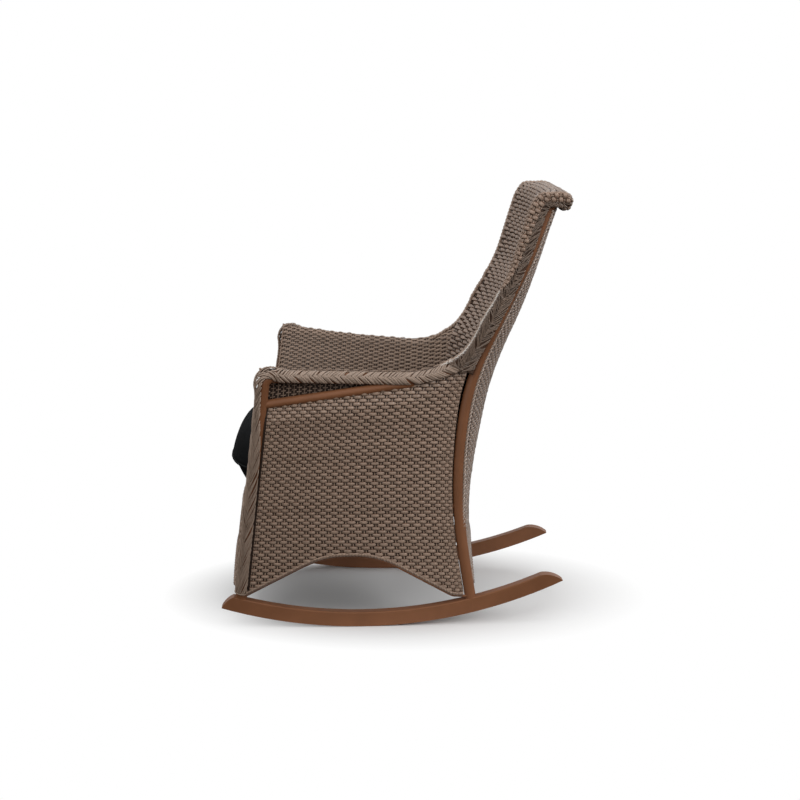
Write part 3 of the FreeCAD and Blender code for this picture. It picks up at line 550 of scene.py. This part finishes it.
def strand_material(name, colour, contrast=1.0, roughness=0.55, coat=0.35, sheen=0.0):
    """Extruded resin strand: fine lengthwise grain, each strand a little lighter or darker, and painted
    shade along its edges.
    """
    material, tree, shader = new_material(name, roughness, Specular_IOR_Level=0.4,
                                          Coat_Weight=coat, Coat_Roughness=0.25,
                                          Sheen_Weight=sheen, Sheen_Roughness=0.3)
    uv = add_node(tree, "ShaderNodeUVMap", uv_map="UVMap").outputs["UV"]
    stretched = add_node(tree, "ShaderNodeMapping", [("Vector", uv), ("Scale", (55.0, 1400.0, 1.0))])
    grain = add_node(tree, "ShaderNodeTexNoise",
                     [("Vector", stretched.outputs[0]), ("Scale", 1.0), ("Detail", 3.0)])
    place = add_node(tree, "ShaderNodeTexCoord").outputs["Object"]
    patches = add_node(tree, "ShaderNodeTexNoise",
                       [("Vector", place), ("Scale", 75.0), ("Detail", 3.0), ("Roughness", 0.6)])
    island = add_node(tree, "ShaderNodeNewGeometry").outputs["Random Per Island"]
    tone = add_node(tree, "ShaderNodeMath", [(0, grain.outputs["Fac"]), (1, 0.55)], operation="MULTIPLY")
    tone = add_node(tree, "ShaderNodeMath", [(0, patches.outputs["Fac"]), (1, 0.45), (2, tone.outputs[0])],
                    operation="MULTIPLY_ADD")
    tone = add_node(tree, "ShaderNodeMath", [(0, island), (1, 0.14), (2, tone.outputs[0])],
                    operation="MULTIPLY_ADD")
    low, high = 1.0 - 0.38 * contrast, 1.0 + 0.30 * contrast
    tinted = (colour[0] * 1.03, colour[1] * 0.98, colour[2] * 0.92)
    painted = colour_ramp(tree, tone.outputs[0], ((0.36, scaled(tinted, low)), (0.55, colour),
                                                  (0.76, scaled(colour, high))))
    # Painted shade: each strand's colour darkens towards its edges, where it meets its neighbours.
    parts = add_node(tree, "ShaderNodeSeparateXYZ", [(0, uv)])
    from_middle = add_node(tree, "ShaderNodeMath", [(0, parts.outputs["Y"])], operation="ABSOLUTE")
    edge = add_node(tree, "ShaderNodeMapRange",
                    [("Value", from_middle.outputs[0]), ("From Min", 0.0030), ("From Max", 0.0046)])
    shaded_edges = add_node(tree, "ShaderNodeMix", [("Factor", edge.outputs[0])], data_type="RGBA")
    tree.links.new(painted, shaded_edges.inputs["A"])
    shaded_edges.inputs["B"].default_value = (colour[0] * 0.50, colour[1] * 0.36, colour[2] * 0.28, 1.0)
    tree.links.new(shaded_edges.outputs["Result"], shader.inputs["Base Color"])
    bump = add_node(tree, "ShaderNodeBump",
                    [("Height", grain.outputs["Fac"]), ("Strength", 0.35), ("Distance", 0.0004)])
    tree.links.new(bump.outputs[0], shader.inputs["Normal"])
    return material


def paint_material(colour):
    """Powder-coated tube: faint mottling, fine orange peel, a satin shine."""
    material, tree, shader = new_material("paint_brown", 0.5, Specular_IOR_Level=0.32)
    place = add_node(tree, "ShaderNodeTexCoord").outputs["Object"]
    mottle = add_node(tree, "ShaderNodeTexNoise", [("Vector", place), ("Scale", 14.0), ("Detail", 5.0)])
    painted = colour_ramp(tree, mottle.outputs["Fac"], ((0.3, scaled(colour, 0.90)),
                                                        (0.7, scaled(colour, 1.10))))
    tree.links.new(painted, shader.inputs["Base Color"])
    peel = add_node(tree, "ShaderNodeTexNoise", [("Vector", place), ("Scale", 700.0), ("Detail", 2.0)])
    uneven = colour_ramp(tree, mottle.outputs["Fac"], ((0.2, (0.46,) * 3), (0.8, (0.58,) * 3)))
    tree.links.new(uneven, shader.inputs["Roughness"])
    bump = add_node(tree, "ShaderNodeBump",
                    [("Height", peel.outputs["Fac"]), ("Strength", 0.25), ("Distance", 0.0003)])
    tree.links.new(bump.outputs[0], shader.inputs["Normal"])
    return material


def fabric_material(name, colour, sheen):
    """Close plain-woven cloth with a slight sheen. Its colour is lighter where it faces up, which is
    painted top light, mixed with random wear.
    """
    material, tree, shader = new_material(name, 0.85, Sheen_Weight=sheen, Sheen_Roughness=0.45,
                                          Specular_IOR_Level=0.03)
    place = add_node(tree, "ShaderNodeTexCoord").outputs["Object"]
    threads = None
    for direction in ("X", "Y", "Z"):
        wave = add_node(tree, "ShaderNodeTexWave",
                        [("Vector", place), ("Scale", 230.0), ("Distortion", 1.2), ("Detail", 1.0)],
                        bands_direction=direction)
        if threads is None:
            threads = wave.outputs["Fac"]
        else:
            threads = add_node(tree, "ShaderNodeMath", [(0, threads), (1, wave.outputs["Fac"])],
                               operation="ADD").outputs[0]
    wear = add_node(tree, "ShaderNodeTexNoise", [("Vector", place), ("Scale", 18.0), ("Detail", 6.0)])
    # Painted top light: the more a face points up, the lighter its colour, up to nine times; random wear
    # is mixed in.
    facing = add_node(tree, "ShaderNodeSeparateXYZ",
                      [(0, add_node(tree, "ShaderNodeTexCoord").outputs["Normal"])])
    top_light_share = add_node(tree, "ShaderNodeMapRange", [("Value", facing.outputs["Z"]), ("From Min", -0.2)])
    wear_and_painted_top_light = add_node(tree, "ShaderNodeMath",
                     [(0, wear.outputs["Fac"]), (1, 0.5), (2, top_light_share.outputs[0])],
                     operation="MULTIPLY_ADD")
    painted = colour_ramp(tree, wear_and_painted_top_light.outputs[0], ((0.2, colour), (0.6, scaled(colour, 4.0)),
                                                   (1.0, scaled(colour, 9.0))))
    tree.links.new(painted, shader.inputs["Base Color"])
    bump = add_node(tree, "ShaderNodeBump",
                    [("Height", threads), ("Strength", 0.3), ("Distance", 0.0004)])
    tree.links.new(bump.outputs[0], shader.inputs["Normal"])
    return material


paint = paint_material((0.195, 0.078, 0.033))
resin = strand_material("resin_weave", (0.295, 0.204, 0.150))
resin_light = strand_material("resin_braid", (0.285, 0.205, 0.155), contrast=0.8)
# Nearly black: painted shade seen through the holes of the weave, on the sheets behind the panels.
resin_painted_shade = strand_material("resin_painted_shade", (0.050, 0.030, 0.018), contrast=0.8, roughness=0.8)
# Weave resin darkened to about half: painted shade on the wing strips and the sheets behind them.
resin_wing_painted_shade = strand_material("resin_wing", (0.135, 0.092, 0.066), contrast=2.0)
# Weave resin a little darker: painted shade on the inner back; its strong coat gives the highlights.
resin_inner_painted_shade = strand_material("resin_inner_back", (0.245, 0.168, 0.122), coat=0.9)
# Weave resin a little lighter: painted light for the back-lit outer back, with coat and sheen for its
# shine at grazing angles.
resin_back_painted_light = strand_material("resin_outer_back", (0.300, 0.215, 0.165), coat=1.0, sheen=0.8)
# Near-white strand colour: a painted highlight along the wing's front rim.
resin_rim_painted_highlight = strand_material("resin_rim_painted_highlight", (0.600, 0.550, 0.500), contrast=0.8)
resin_hem = strand_material("resin_hem", (0.110, 0.066, 0.042), contrast=0.8)
strap = strand_material("webbing_strap", (0.030, 0.026, 0.023), contrast=0.8, roughness=0.7)
cloth = fabric_material("cushion_black", (0.0012, 0.0013, 0.0014), 0.004)
welt_cloth = fabric_material("welt_black", (0.0016, 0.0017, 0.0018), 0.006)


# Woven panels.

def even_rows(low, high, row_pitch=ROW_PITCH):
    """Rows of constant v."""
    values = np.arange(low, high, row_pitch)
    return lambda u: np.repeat(values[:, None], len(u), axis=1)


def side_rows(u):
    """Rows of a side panel, a little lower towards the rear."""
    start = np.arange(0.070, 0.680, ROW_PITCH)[:, None]
    z = start + 0.0 * u
    distance = side_skin(np.broadcast_to(u, z.shape), z)[..., 1] + 0.35
    return z - 0.027 * distance


def leaning_side_skin(u, z):
    """The side skin, clear of the leg's braid, with stakes that run rearwards low down."""
    u = 0.011 + 0.989 * u
    drop = np.clip((0.60 - z) / 0.47, 0.0, 1.0)
    return side_skin(u + (0.11 * drop + 0.11 * drop ** 3) * u * (1.0 - u), z)


def side_span(u):
    """Heights of the lower and upper edge of a side panel along u."""
    low, high = np.full_like(u, 0.13), np.full_like(u, 0.60)
    for _ in range(6):
        low = np.interp(side_skin(u, low)[..., 1], side_hem[:, 0], side_hem[:, 1])
        high = np.interp(side_skin(u, high)[..., 1], side_top[:, 0], side_top[:, 1])
    return low, high


def inside_side(points):
    y, z = points[..., 1], points[..., 2]
    low = np.interp(y, side_hem[:, 0], side_hem[:, 1])
    high = np.interp(y, side_top[:, 0], side_top[:, 1])
    return (z > low + 0.001) & (z < high + 0.010)


def inside_apron(points):
    low = np.interp(points[..., 0], apron_hem[:, 0], apron_hem[:, 1])
    return (points[..., 2] > low + 0.001) & (points[..., 2] < (SEAT_RAIL_HEIGHT + 10.0) / 1000.0)


def inside_outer_back(points):
    low = np.interp(points[..., 0], back_hem[:, 0], back_hem[:, 1])
    return (points[..., 2] > low + 0.001) & (points[..., 2] < 1.048)


def stakes_over(length):
    return int(round(length / STAKE_PITCH))


def hem_line(points_2d, skin, axis, out_sign):
    """Edge line on a skin along a hem given as (coordinate, z)."""
    z = points_2d[:, 1] - 0.0008
    u = np.linspace(0, 1, 401)
    line = []
    for value, height in zip(points_2d[:, 0], z):
        row = skin(u, np.full_like(u, height))
        order = np.argsort(row[:, axis])
        line.append([np.interp(value, row[order, axis], row[order, i]) for i in range(3)])
    line = evenly(np.array(line), 0.003)
    out = np.zeros_like(line)
    out[:, 0 if axis == 1 else 1] = out_sign
    return line + out * 0.0035, out


def finish_piece(piece, body, slot_name, *replaced):
    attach(piece, body)
    if replaced:
        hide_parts(*replaced)
    return piece


def both_sides(strands, name, material, slot_name, node=None):
    """The left piece and its mirror image; node is the CAD node they stand for."""
    for word, mirror in (("left", False), ("right", True)):
        piece = strands.build("%s_%s" % (name, word), material, mirror)
        replaced = ["%s_%s" % (node, word)] if node else []
        finish_piece(piece, "chair", slot_name, *replaced)


def build_side_panels():
    strands = Strands()
    weave(strands, leaning_side_skin, 1.0, stakes_over(0.54), side_rows, inside_side, (0.07, 0.66),
          ((0.0, 0.70), (0.05, 0.86), (0.3, 0.95), (0.6, 1.13), (0.88, 1.13), (0.94, 0.8), (1.0, 0.7)))
    line, out = hem_line(side_hem[(side_hem[:, 0] > -0.372) & (side_hem[:, 0] < 0.178)],
                         side_skin, 1, 1.0)
    twisted_edge(strands, line + (-0.0015, 0.0, 0.0035), out, HEM_PLY)
    hem = Strands()
    twisted_edge(hem, line, out, HEM_PLY)
    both_sides(hem, "side_hem_strands", resin_hem, "weave")
    shade_sheet = backing(side_skin, 1.0, lambda u: side_span(u)[0] + 0.001, lambda u: side_span(u)[1])
    both_sides(shade_sheet, "side_backing", resin_painted_shade, "weave")
    z = np.linspace(0.084, 0.655, 160)
    rear = side_skin(np.ones_like(z), z)
    twisted_edge(strands, rear - (0.005, 0.001, 0.0), (1.0, 0.0, 0.0), 0.0019)
    both_sides(strands, "side_weave", resin, "weave", "side_panel")


def build_back():
    wrap = math.pi * CREST_WRAP_RADIUS / 1000.0
    stakes = stakes_over(0.54)
    half_way = BACK_LENGTH * 0.5
    lower, upper = Strands(), Strands()
    pitch = BACK_ROW_PITCH
    weave(lower, back_skin, -1.0, stakes, even_rows(0.0, half_way, pitch),
          stake_span=(0.0, half_way + pitch), row_pitch=pitch, rise_share=BACK_RISE_SHARE,
          fullness=0.30, stake_share=0.12)
    rows = int(math.ceil(half_way / pitch))
    weave(upper, back_skin, -1.0, stakes, even_rows(rows * pitch, BACK_LENGTH + wrap, pitch),
          stake_span=(half_way, BACK_LENGTH + wrap), row_pitch=pitch, rise_share=BACK_RISE_SHARE,
          fullness=0.30, stake_share=0.12)
    finish_piece(lower.build("back_weave_low", resin_inner_painted_shade), "chair", "weave", "back_lining")
    finish_piece(upper.build("back_weave_high", resin_inner_painted_shade), "chair", "weave", "back_lining")
    shade_sheet = backing(back_skin, -1.0, level(0.0), level(BACK_LENGTH + wrap),
                   rows=90, depth=0.0022)
    finish_piece(shade_sheet.build("back_backing", resin_painted_shade), "chair", "weave")


def build_outer_back():
    strands = Strands()
    weave(strands, outer_back_skin, 1.0, stakes_over(0.447), even_rows(0.10, 1.05),
          inside_outer_back, (0.10, 1.05))
    line, out = hem_line(back_hem[np.abs(back_hem[:, 0]) < 0.2225], outer_back_skin, 0, 1.0)
    twisted_edge(strands, line + (0.0, -0.0015, 0.0035), out, HEM_PLY)
    hem = Strands()
    twisted_edge(hem, line, out, HEM_PLY)
    finish_piece(hem.build("outer_back_hem_strands", resin_hem), "chair", "weave")
    for side in (-1.0, 1.0):
        z = np.linspace(0.13, 1.045, 320)
        y = stile_y(z) + np.interp(z, (0.13, 0.36), (0.0, 0.0138))
        line = np.stack([np.full_like(z, side * 0.2345), y, z], axis=-1)
        twisted_edge(strands, line, (side, 0.0, 0.0), 0.0026, turn=0.020)
    finish_piece(strands.build("outer_back_weave", resin_back_painted_light), "chair", "weave", "outer_back")
    shade_sheet = backing(outer_back_skin, 1.0,
                   lambda u: 0.001 + np.interp((1.0 - 2.0 * u) * 0.2235, back_hem[:, 0], back_hem[:, 1]),
                   level(1.048))
    finish_piece(shade_sheet.build("outer_back_backing", resin_painted_shade), "chair", "weave")


def build_apron():
    strands = Strands()
    weave(strands, apron_skin, -1.0, stakes_over(0.50), even_rows(0.09, 0.318),
          inside_apron, (0.09, 0.316))
    line, out = hem_line(apron_hem[np.abs(apron_hem[:, 0]) < 0.240], apron_skin, 0, -1.0)
    twisted_edge(strands, line + (0.0, 0.0015, 0.0035), out, HEM_PLY)
    hem = Strands()
    twisted_edge(hem, line, out, HEM_PLY)
    finish_piece(hem.build("apron_hem_strands", resin_hem), "chair", "weave")
    u = np.linspace(0.0, 1.0, 150)
    top = apron_skin(u, np.full_like(u, 0.3155))
    twisted_edge(strands, top, (0.0, -1.0, 0.0), 0.0019)
    finish_piece(strands.build("apron_weave", resin), "chair", "weave", "front_apron")

    def low(u):
        z = np.full_like(u, 0.15)
        for _ in range(6):
            z = np.interp(apron_skin(u, z)[..., 0], apron_hem[:, 0], apron_hem[:, 1])
        return z + 0.001
    shade_sheet = backing(apron_skin, -1.0, low, level(0.3155))
    finish_piece(shade_sheet.build("apron_backing", resin_painted_shade), "chair", "weave")


def lining_rows(u):
    """Rows of an arm lining, bent down towards its front edge."""
    values = np.arange(0.0, 0.40, LINING_ROW_PITCH)[:, None]
    return (values - 0.017 * (1.0 - u) - 0.018 * np.exp(-u / 0.12)) / LINING_LENGTH


def build_linings():
    strands = Strands()
    top = 1.0 + math.radians(66) * LINING_ARC_RADIUS / LINING_LENGTH
    weave(strands, lining_skin, -1.0, int(0.49 / LINING_STAKE_PITCH), lining_rows,
          stake_span=(0.0, top), stake_gaps=((0.0, 0.9), (0.45, 0.9), (0.85, 1.2), (1.0, 1.2)),
          row_pitch=LINING_ROW_PITCH)
    for u in (0.0, 1.0):
        v = np.linspace(0.0, top, 130)
        line = lining_skin(np.full_like(v, u), v)
        twisted_edge(strands, line, (-1.0, 0.0, 0.0), 0.0019)
    both_sides(strands, "arm_lining_weave", resin, "weave", "arm_lining")
    shade_sheet = backing(lining_skin, -1.0, level(0.0), level(top))
    both_sides(shade_sheet, "arm_lining_backing", resin_painted_shade, "weave")


def build_arm_braids():
    corners = [(*(1000.0 * np.array(leg_at(BRAID_FOOT_Z / 1000.0))), BRAID_FOOT_Z)]
    corners += list(ARM_CORNERS[1:-1]) + [BRAID_REAR_END]
    path = bent_line(corners, ARM_RADII, 0.002)
    length = np.linalg.norm(np.diff(path, axis=0), axis=1).sum()
    distance = np.linspace(0.0, length, len(path))
    tangent = unit(np.gradient(path, axis=0))
    outward = unit(np.array([1.0, 0, 0]) - tangent * tangent[:, :1])
    forward = np.cross(outward, tangent)
    stations = (0.0, 0.30, 0.40, 0.50, 0.575, 0.60, 0.72, length)
    start_angles = (-60.0, -52.0, -38.0, 5.0, 16.0, -46.0, -50.0, -55.0)
    end_angle = 106.0
    radius = TUBE_RADIUS / 1000.0

    def place(s, t):
        start = np.interp(s, stations, start_angles)
        angle = np.radians(start + (end_angle - start) * (t + 1.0) / 2.0)[..., None]
        here, side, front = (np.stack([np.interp(s, distance, values[:, i]) for i in range(3)], -1)
                             for values in (path, outward, forward))
        out = side * np.cos(angle) + front * np.sin(angle)
        nose = 0.010 * np.exp(-((s - 0.578) / 0.030) ** 2)[..., None] * np.maximum(np.sin(angle), 0.0)
        return here + out * (radius + 0.0004 + nose), unit(out)

    def half_width(s):
        start = np.interp(s, stations, start_angles)
        return np.radians(end_angle - start) / 2.0 * (radius + 0.0015)

    def reach(s):
        return half_width(s) * np.interp(s, (0.0, 0.5, 0.62), (3.6, 2.8, 1.15))

    strands = Strands()
    herringbone(strands, place, (0.0, length), 0.0235, reach, half_width, 0.0034, plies=3,
                scatter=0.14)
    point, out = place(distance, np.ones_like(distance))
    twisted_edge(strands, point + out * 0.0016, out, 0.0018, turn=0.015)
    both_sides(strands, "arm_braid_strands", resin_light, "braid", "arm_braid")


def build_wing_braids():
    v = np.linspace(0, 1, 300)
    edge = wing_skin(np.full_like(v, 0.5), v)
    steps = np.linalg.norm(np.diff(edge, axis=0), axis=1)
    distance = np.concatenate([[0.0], np.cumsum(steps)])
    length = distance[-1]

    def place(s, t):
        return skin_frame(wing_skin, (t + 1.0) / 2.0, np.interp(s, distance, v), 1.0)

    def half_width(s):
        here = np.interp(s, distance, v)
        return np.linalg.norm(wing_front(here) - wing_rear(here), axis=-1) / 2.0

    def reach(s):
        return half_width(s) * 1.3

    strands = Strands()
    herringbone(strands, place, (0.0, length), 0.0235, reach, half_width, 0.0022, tuck=0.0,
                plies=6, scatter=0.6)
    both_sides(strands, "wing_braid_strands", resin_wing_painted_shade, "braid", "wing_braid")
    # A sheet of the darkened wing resin behind the braid: painted shade.
    shade_sheet = backing(wing_skin, 1.0, level(0.0), level(1.0), 8, 90, 0.0008)
    both_sides(shade_sheet, "wing_braid_backing", resin_wing_painted_shade, "braid")
    # The near-white rim strand along the wing's front edge is a painted highlight.
    rim = Strands()
    sideways = (1.0, 0.0, 0.0)
    start = metres(((247.0, 112.0, 662.0), (252.0, 146.0, 683.0)))
    front = wing_skin(np.zeros(120), np.linspace(0.0, WING_RIM_END, 120))
    line = evenly(np.vstack([start, front]), 0.003)
    line = line + gentle_noise(3, len(line), 5).T * (0.0, 0.0010, 0.0010) - (0.003, 0.0, 0.0)
    twisted_edge(rim, line, sideways, 0.0019, turn=0.017)
    both_sides(rim, "wing_rim_strands", resin_rim_painted_highlight, "braid")
    roll = Strands()
    for inset in (0.0070, 0.0115, 0.0160):
        twisted_edge(roll, line - (inset - 0.003, 0.0, 0.0), sideways, 0.0028, turn=0.020)
    both_sides(roll, "wing_roll_strands", resin, "braid")
    cover = Strands()

    def cover_skin(u, v):
        return wing_skin(u * np.interp(v, *WING_COVER), v) + (0.0025, 0.0, 0.0)
    weave(cover, cover_skin, 1.0, 2, even_rows(0.43, 0.995, BACK_ROW_PITCH / length),
          stake_span=(0.43, 0.995), row_pitch=BACK_ROW_PITCH)
    line = evenly(wing_skin(np.zeros(200), np.linspace(WING_RIM_END, 0.98, 200)), 0.003)
    for inset in (0.003, 0.008):
        twisted_edge(cover, line - (inset, 0.0, 0.0), sideways, 0.0026, turn=0.020)
    both_sides(cover, "wing_cover_weave", resin, "weave")


def build_deck():
    """Interlaced straps on the seat rails."""
    (front_half, front_y), (rear_half, rear_y) = metres(DECK_CORNERS)
    front_y -= 0.012
    level = (SEAT_RAIL_HEIGHT + 11.0 + 2.2) / 1000.0
    strands = Strands()
    ways = 9
    samples = 145
    for way in range(ways):
        share = (way + 0.5) / ways * 2.0 - 1.0
        t = np.linspace(0.004, 0.996, samples)
        y = front_y + (rear_y - front_y) * t
        x = share * (front_half + (rear_half - front_half) * t) * 0.96
        y = y - SEAT_BOW / 1000.0 * (1.0 - share * share) * (1.0 - t)
        wave = np.clip(1.6 * np.cos(math.pi * (t * ways - 0.5 + way)), -1.0, 1.0)
        line = np.stack([x, y, level + 0.0010 * wave], axis=-1)
        up = (0.0, 0.0, 1.0)
        width = (front_half + (rear_half - front_half) * t) / ways * 0.84
        strands.add(line, up, width, 0.0009)
        y_low = front_y + (rear_y - front_y) * (way + 0.5) / ways
        s = np.linspace(-0.985, 0.985, samples)
        half = front_half + (rear_half - front_half) * (way + 0.5) / ways
        bow = SEAT_BOW / 1000.0 * (1.0 - s * s) * (1.0 - (way + 0.5) / ways)
        wave = np.clip(1.6 * np.cos(math.pi * ((s + 1) / 2 * ways - 0.5 + way)), -1.0, 1.0)
        line = np.stack([s * half, y_low - bow, level - 0.0010 * wave], axis=-1)
        strands.add(line, up, (rear_y - front_y) / ways / 2 * 0.84, 0.0009)
    finish_piece(strands.build("seat_straps", strap), "chair", "webbing", "seat_deck")


# Seat cushion.

def cushion_seam(count=400):
    """The cushion's seam line, seen from above."""
    front, rear = CUSHION_FRONT, CUSHION_REAR
    angle = np.linspace(0, 2 * math.pi, count, endpoint=False) - math.pi / 2
    power = 2.0 / CUSHION_CORNER_POWER
    across = np.copysign(np.abs(np.cos(angle)) ** power, np.cos(angle))
    back = np.copysign(np.abs(np.sin(angle)) ** power, np.sin(angle))
    front_half, rear_half = CUSHION_HALF_WIDTHS
    half = (front_half + rear_half) / 2 + (rear_half - front_half) / 2 * back
    y = (front + rear) / 2 + (rear - front) / 2 * back
    y -= np.where(back < 0, CUSHION_FRONT_BOW * (1 - across ** 2) * back ** 2, 0.0)
    return np.stack([half * across, y, np.full(count, CUSHION_SEAM_Z)], axis=-1) / 1000.0


def build_cushion():
    """The CAD cushion's form, remeshed and filled by a cloth simulation, with a welt."""
    source = nodes["seat_cushion"]
    piece = bpy.data.objects.new("cushion_cover", source.data.copy())
    bpy.context.scene.collection.objects.link(piece)
    bpy.context.view_layer.objects.active = piece
    remesh = piece.modifiers.new("remesh", "REMESH")
    remesh.mode = "VOXEL"
    remesh.voxel_size = COVER_VOXEL
    bpy.ops.object.select_all(action="DESELECT")
    piece.select_set(True)
    bpy.ops.object.modifier_apply(modifier="remesh")
    start = np.zeros(len(piece.data.vertices) * 3, np.float32)
    piece.data.vertices.foreach_get("co", start)
    start = start.reshape(-1, 3).astype(float)
    normals = np.zeros(len(start) * 3, np.float32)
    piece.data.vertices.foreach_get("normal", normals)
    start -= normals.reshape(-1, 3) * COVER_INSET
    piece.data.vertices.foreach_set("co", start.ravel().astype(np.float32))
    seam = piece.vertex_groups.new(name="seam")
    held = start[:, 2] < CUSHION_SEAM_Z / 1000.0 + SEAM_BAND
    seam.add([int(i) for i in np.flatnonzero(held)], 1.0, "REPLACE")
    cloth_fill = piece.modifiers.new("fill", "CLOTH")
    settings = cloth_fill.settings
    settings.vertex_group_mass = "seam"
    settings.use_pressure = True
    settings.uniform_pressure_force = COVER_PRESSURE
    settings.effector_weights.gravity = 0.0
    settings.tension_stiffness = 8.0
    settings.compression_stiffness = 8.0
    settings.quality = 4
    for number in range(1, 21):
        bpy.context.scene.frame_set(number)
    bpy.ops.object.modifier_apply(modifier="fill")
    bpy.context.scene.frame_set(1)
    moved = np.zeros(len(start) * 3, np.float32)
    piece.data.vertices.foreach_get("co", moved)
    shift = moved.reshape(-1, 3) - start
    length = np.linalg.norm(shift, axis=1, keepdims=True)
    shift *= np.minimum(1.0, COVER_MOST_MOVED / np.maximum(length, 1e-9))
    piece.data.vertices.foreach_set("co", (start + shift).ravel().astype(np.float32))
    piece.data.update()
    smooth = piece.modifiers.new("smooth", "SUBSURF")
    smooth.levels = 1
    bpy.ops.object.modifier_apply(modifier="smooth")
    piece.data.materials.clear()
    piece.data.materials.append(cloth)
    for polygon in piece.data.polygons:
        polygon.use_smooth = True
    finish_piece(piece, "cushion", "cushion_fabric", "seat_cushion")
    line = []
    for point in evenly(np.vstack([cushion_seam(), cushion_seam()[:3]]), 0.004):
        _, place, normal, _ = piece.closest_point_on_mesh(point)
        line.append(np.array(place) + np.array(normal) * 0.0012)
    line = np.array(line)
    line[1:-1] = (line[:-2] + 2.0 * line[1:-1] + line[2:]) / 4.0
    welt = Strands()
    welt.add(line, (0.0, 0.0, 1.0), WELT_RADIUS, WELT_RADIUS, ROUND_STRAND)
    finish_piece(welt.build("cushion_welt", welt_cloth), "cushion", "cushion_fabric")


# Stage.

def build_stage():
    """Pale floor with a soft shadow, white surroundings, studio lamps and the camera."""
    size = 30.0
    mesh = bpy.data.meshes.new("floor")
    mesh.from_pydata([(-size, -size, -0.001), (size, -size, -0.001), (size, size, -0.001),
                      (-size, size, -0.001)], [], [(0, 1, 2, 3)])
    floor = bpy.data.objects.new("floor", mesh)
    bpy.context.scene.collection.objects.link(floor)
    material = bpy.data.materials.new("floor_white")
    material.use_nodes = True
    tree = material.node_tree
    tree.nodes.clear()
    place = add_node(tree, "ShaderNodeTexCoord").outputs["Object"]
    ground = add_node(tree, "ShaderNodeVectorMath",
                      [(0, place), (1, (-0.02, 0.03, 0.0))], operation="SUBTRACT")
    ground = add_node(tree, "ShaderNodeVectorMath",
                      [(0, ground.outputs[0]), (1, (0.36, 0.52, 1.0))], operation="DIVIDE")
    distance = add_node(tree, "ShaderNodeVectorMath", [(0, ground.outputs[0])], operation="LENGTH")
    fade = add_node(tree, "ShaderNodeMapRange",
                    [("Value", distance.outputs["Value"]), ("From Min", 0.75), ("From Max", 1.25)])
    matte = add_node(tree, "ShaderNodeBsdfDiffuse", [("Color", (0.84, 0.84, 0.84, 1.0))])
    camera_ray = add_node(tree, "ShaderNodeLightPath").outputs["Is Camera Ray"]
    white = add_node(tree, "ShaderNodeEmission", [("Strength", camera_ray)])
    mixed = add_node(tree, "ShaderNodeMixShader",
                     [(0, fade.outputs[0]), (1, matte.outputs[0]), (2, white.outputs[0])])
    output = add_node(tree, "ShaderNodeOutputMaterial")
    tree.links.new(mixed.outputs[0], output.inputs[0])
    mesh.materials.append(material)

    world = bpy.data.worlds.new("studio")
    bpy.context.scene.world = world
    world.use_nodes = True
    tree = world.node_tree
    path = add_node(tree, "ShaderNodeLightPath")
    seen = path.outputs["Is Camera Ray"]
    for name in ("Is Glossy Ray", "Is Transmission Ray"):
        seen = add_node(tree, "ShaderNodeMath", [(0, seen), (1, path.outputs[name])],
                        operation="MAXIMUM").outputs[0]
    strength = add_node(tree, "ShaderNodeMapRange",
                        [("Value", seen), ("To Min", 0.60), ("To Max", 1.0)])
    background = tree.nodes["Background"]
    background.inputs["Color"].default_value = (1.0, 1.0, 1.0, 1.0)
    tree.links.new(strength.outputs[0], background.inputs["Strength"])

    for name, location, target, width, power in (
            ("lamp_top", (0.3, 0.3, 2.7), (0.0, 0.1, 0.4), 1.8, 10.0),
            ("lamp_camera_side", (3.0, -1.2, 2.2), (0.0, 0.0, 0.5), 2.4, 27.0),
            ("lamp_front", (1.8, -2.8, 1.0), (0.0, 0.0, 0.4), 1.4, 7.0),
            ("lamp_rear", (1.4, 2.8, 1.6), (0.0, 0.2, 0.6), 1.2, 42.0),
            ("lamp_far_side", (-2.4, 2.0, 1.2), (0.0, 0.2, 0.7), 1.6, 4.0)):
        lamp = bpy.data.lights.new(name, "AREA")
        lamp.energy = power
        lamp.size = width
        holder = bpy.data.objects.new(name, lamp)
        holder.location = location
        direction = np.array(target) - np.array(location)
        flat = math.hypot(direction[0], direction[1])
        holder.rotation_euler = (math.atan2(flat, -direction[2]), 0.0,
                                 math.atan2(direction[1], direction[0]) - math.pi / 2)
        holder.visible_camera = False
        bpy.context.scene.collection.objects.link(holder)

    camera = bpy.data.cameras.new("camera")
    camera.lens = 67.73
    camera.sensor_width = 36.0
    holder = bpy.data.objects.new("camera", camera)
    holder.location = (3.878, 0.018, 1.304)
    holder.rotation_euler = (math.radians(78.746), 0.0, math.radians(90.0))
    bpy.context.scene.collection.objects.link(holder)
    bpy.context.scene.camera = holder
    bpy.context.scene.view_settings.view_transform = "Standard"


for node in nodes.values():
    for slot in node.material_slots:
        slot.material = paint
build_side_panels()
build_back()
build_outer_back()
build_apron()
build_linings()
build_arm_braids()
build_wing_braids()
build_deck()
build_cushion()
build_stage()
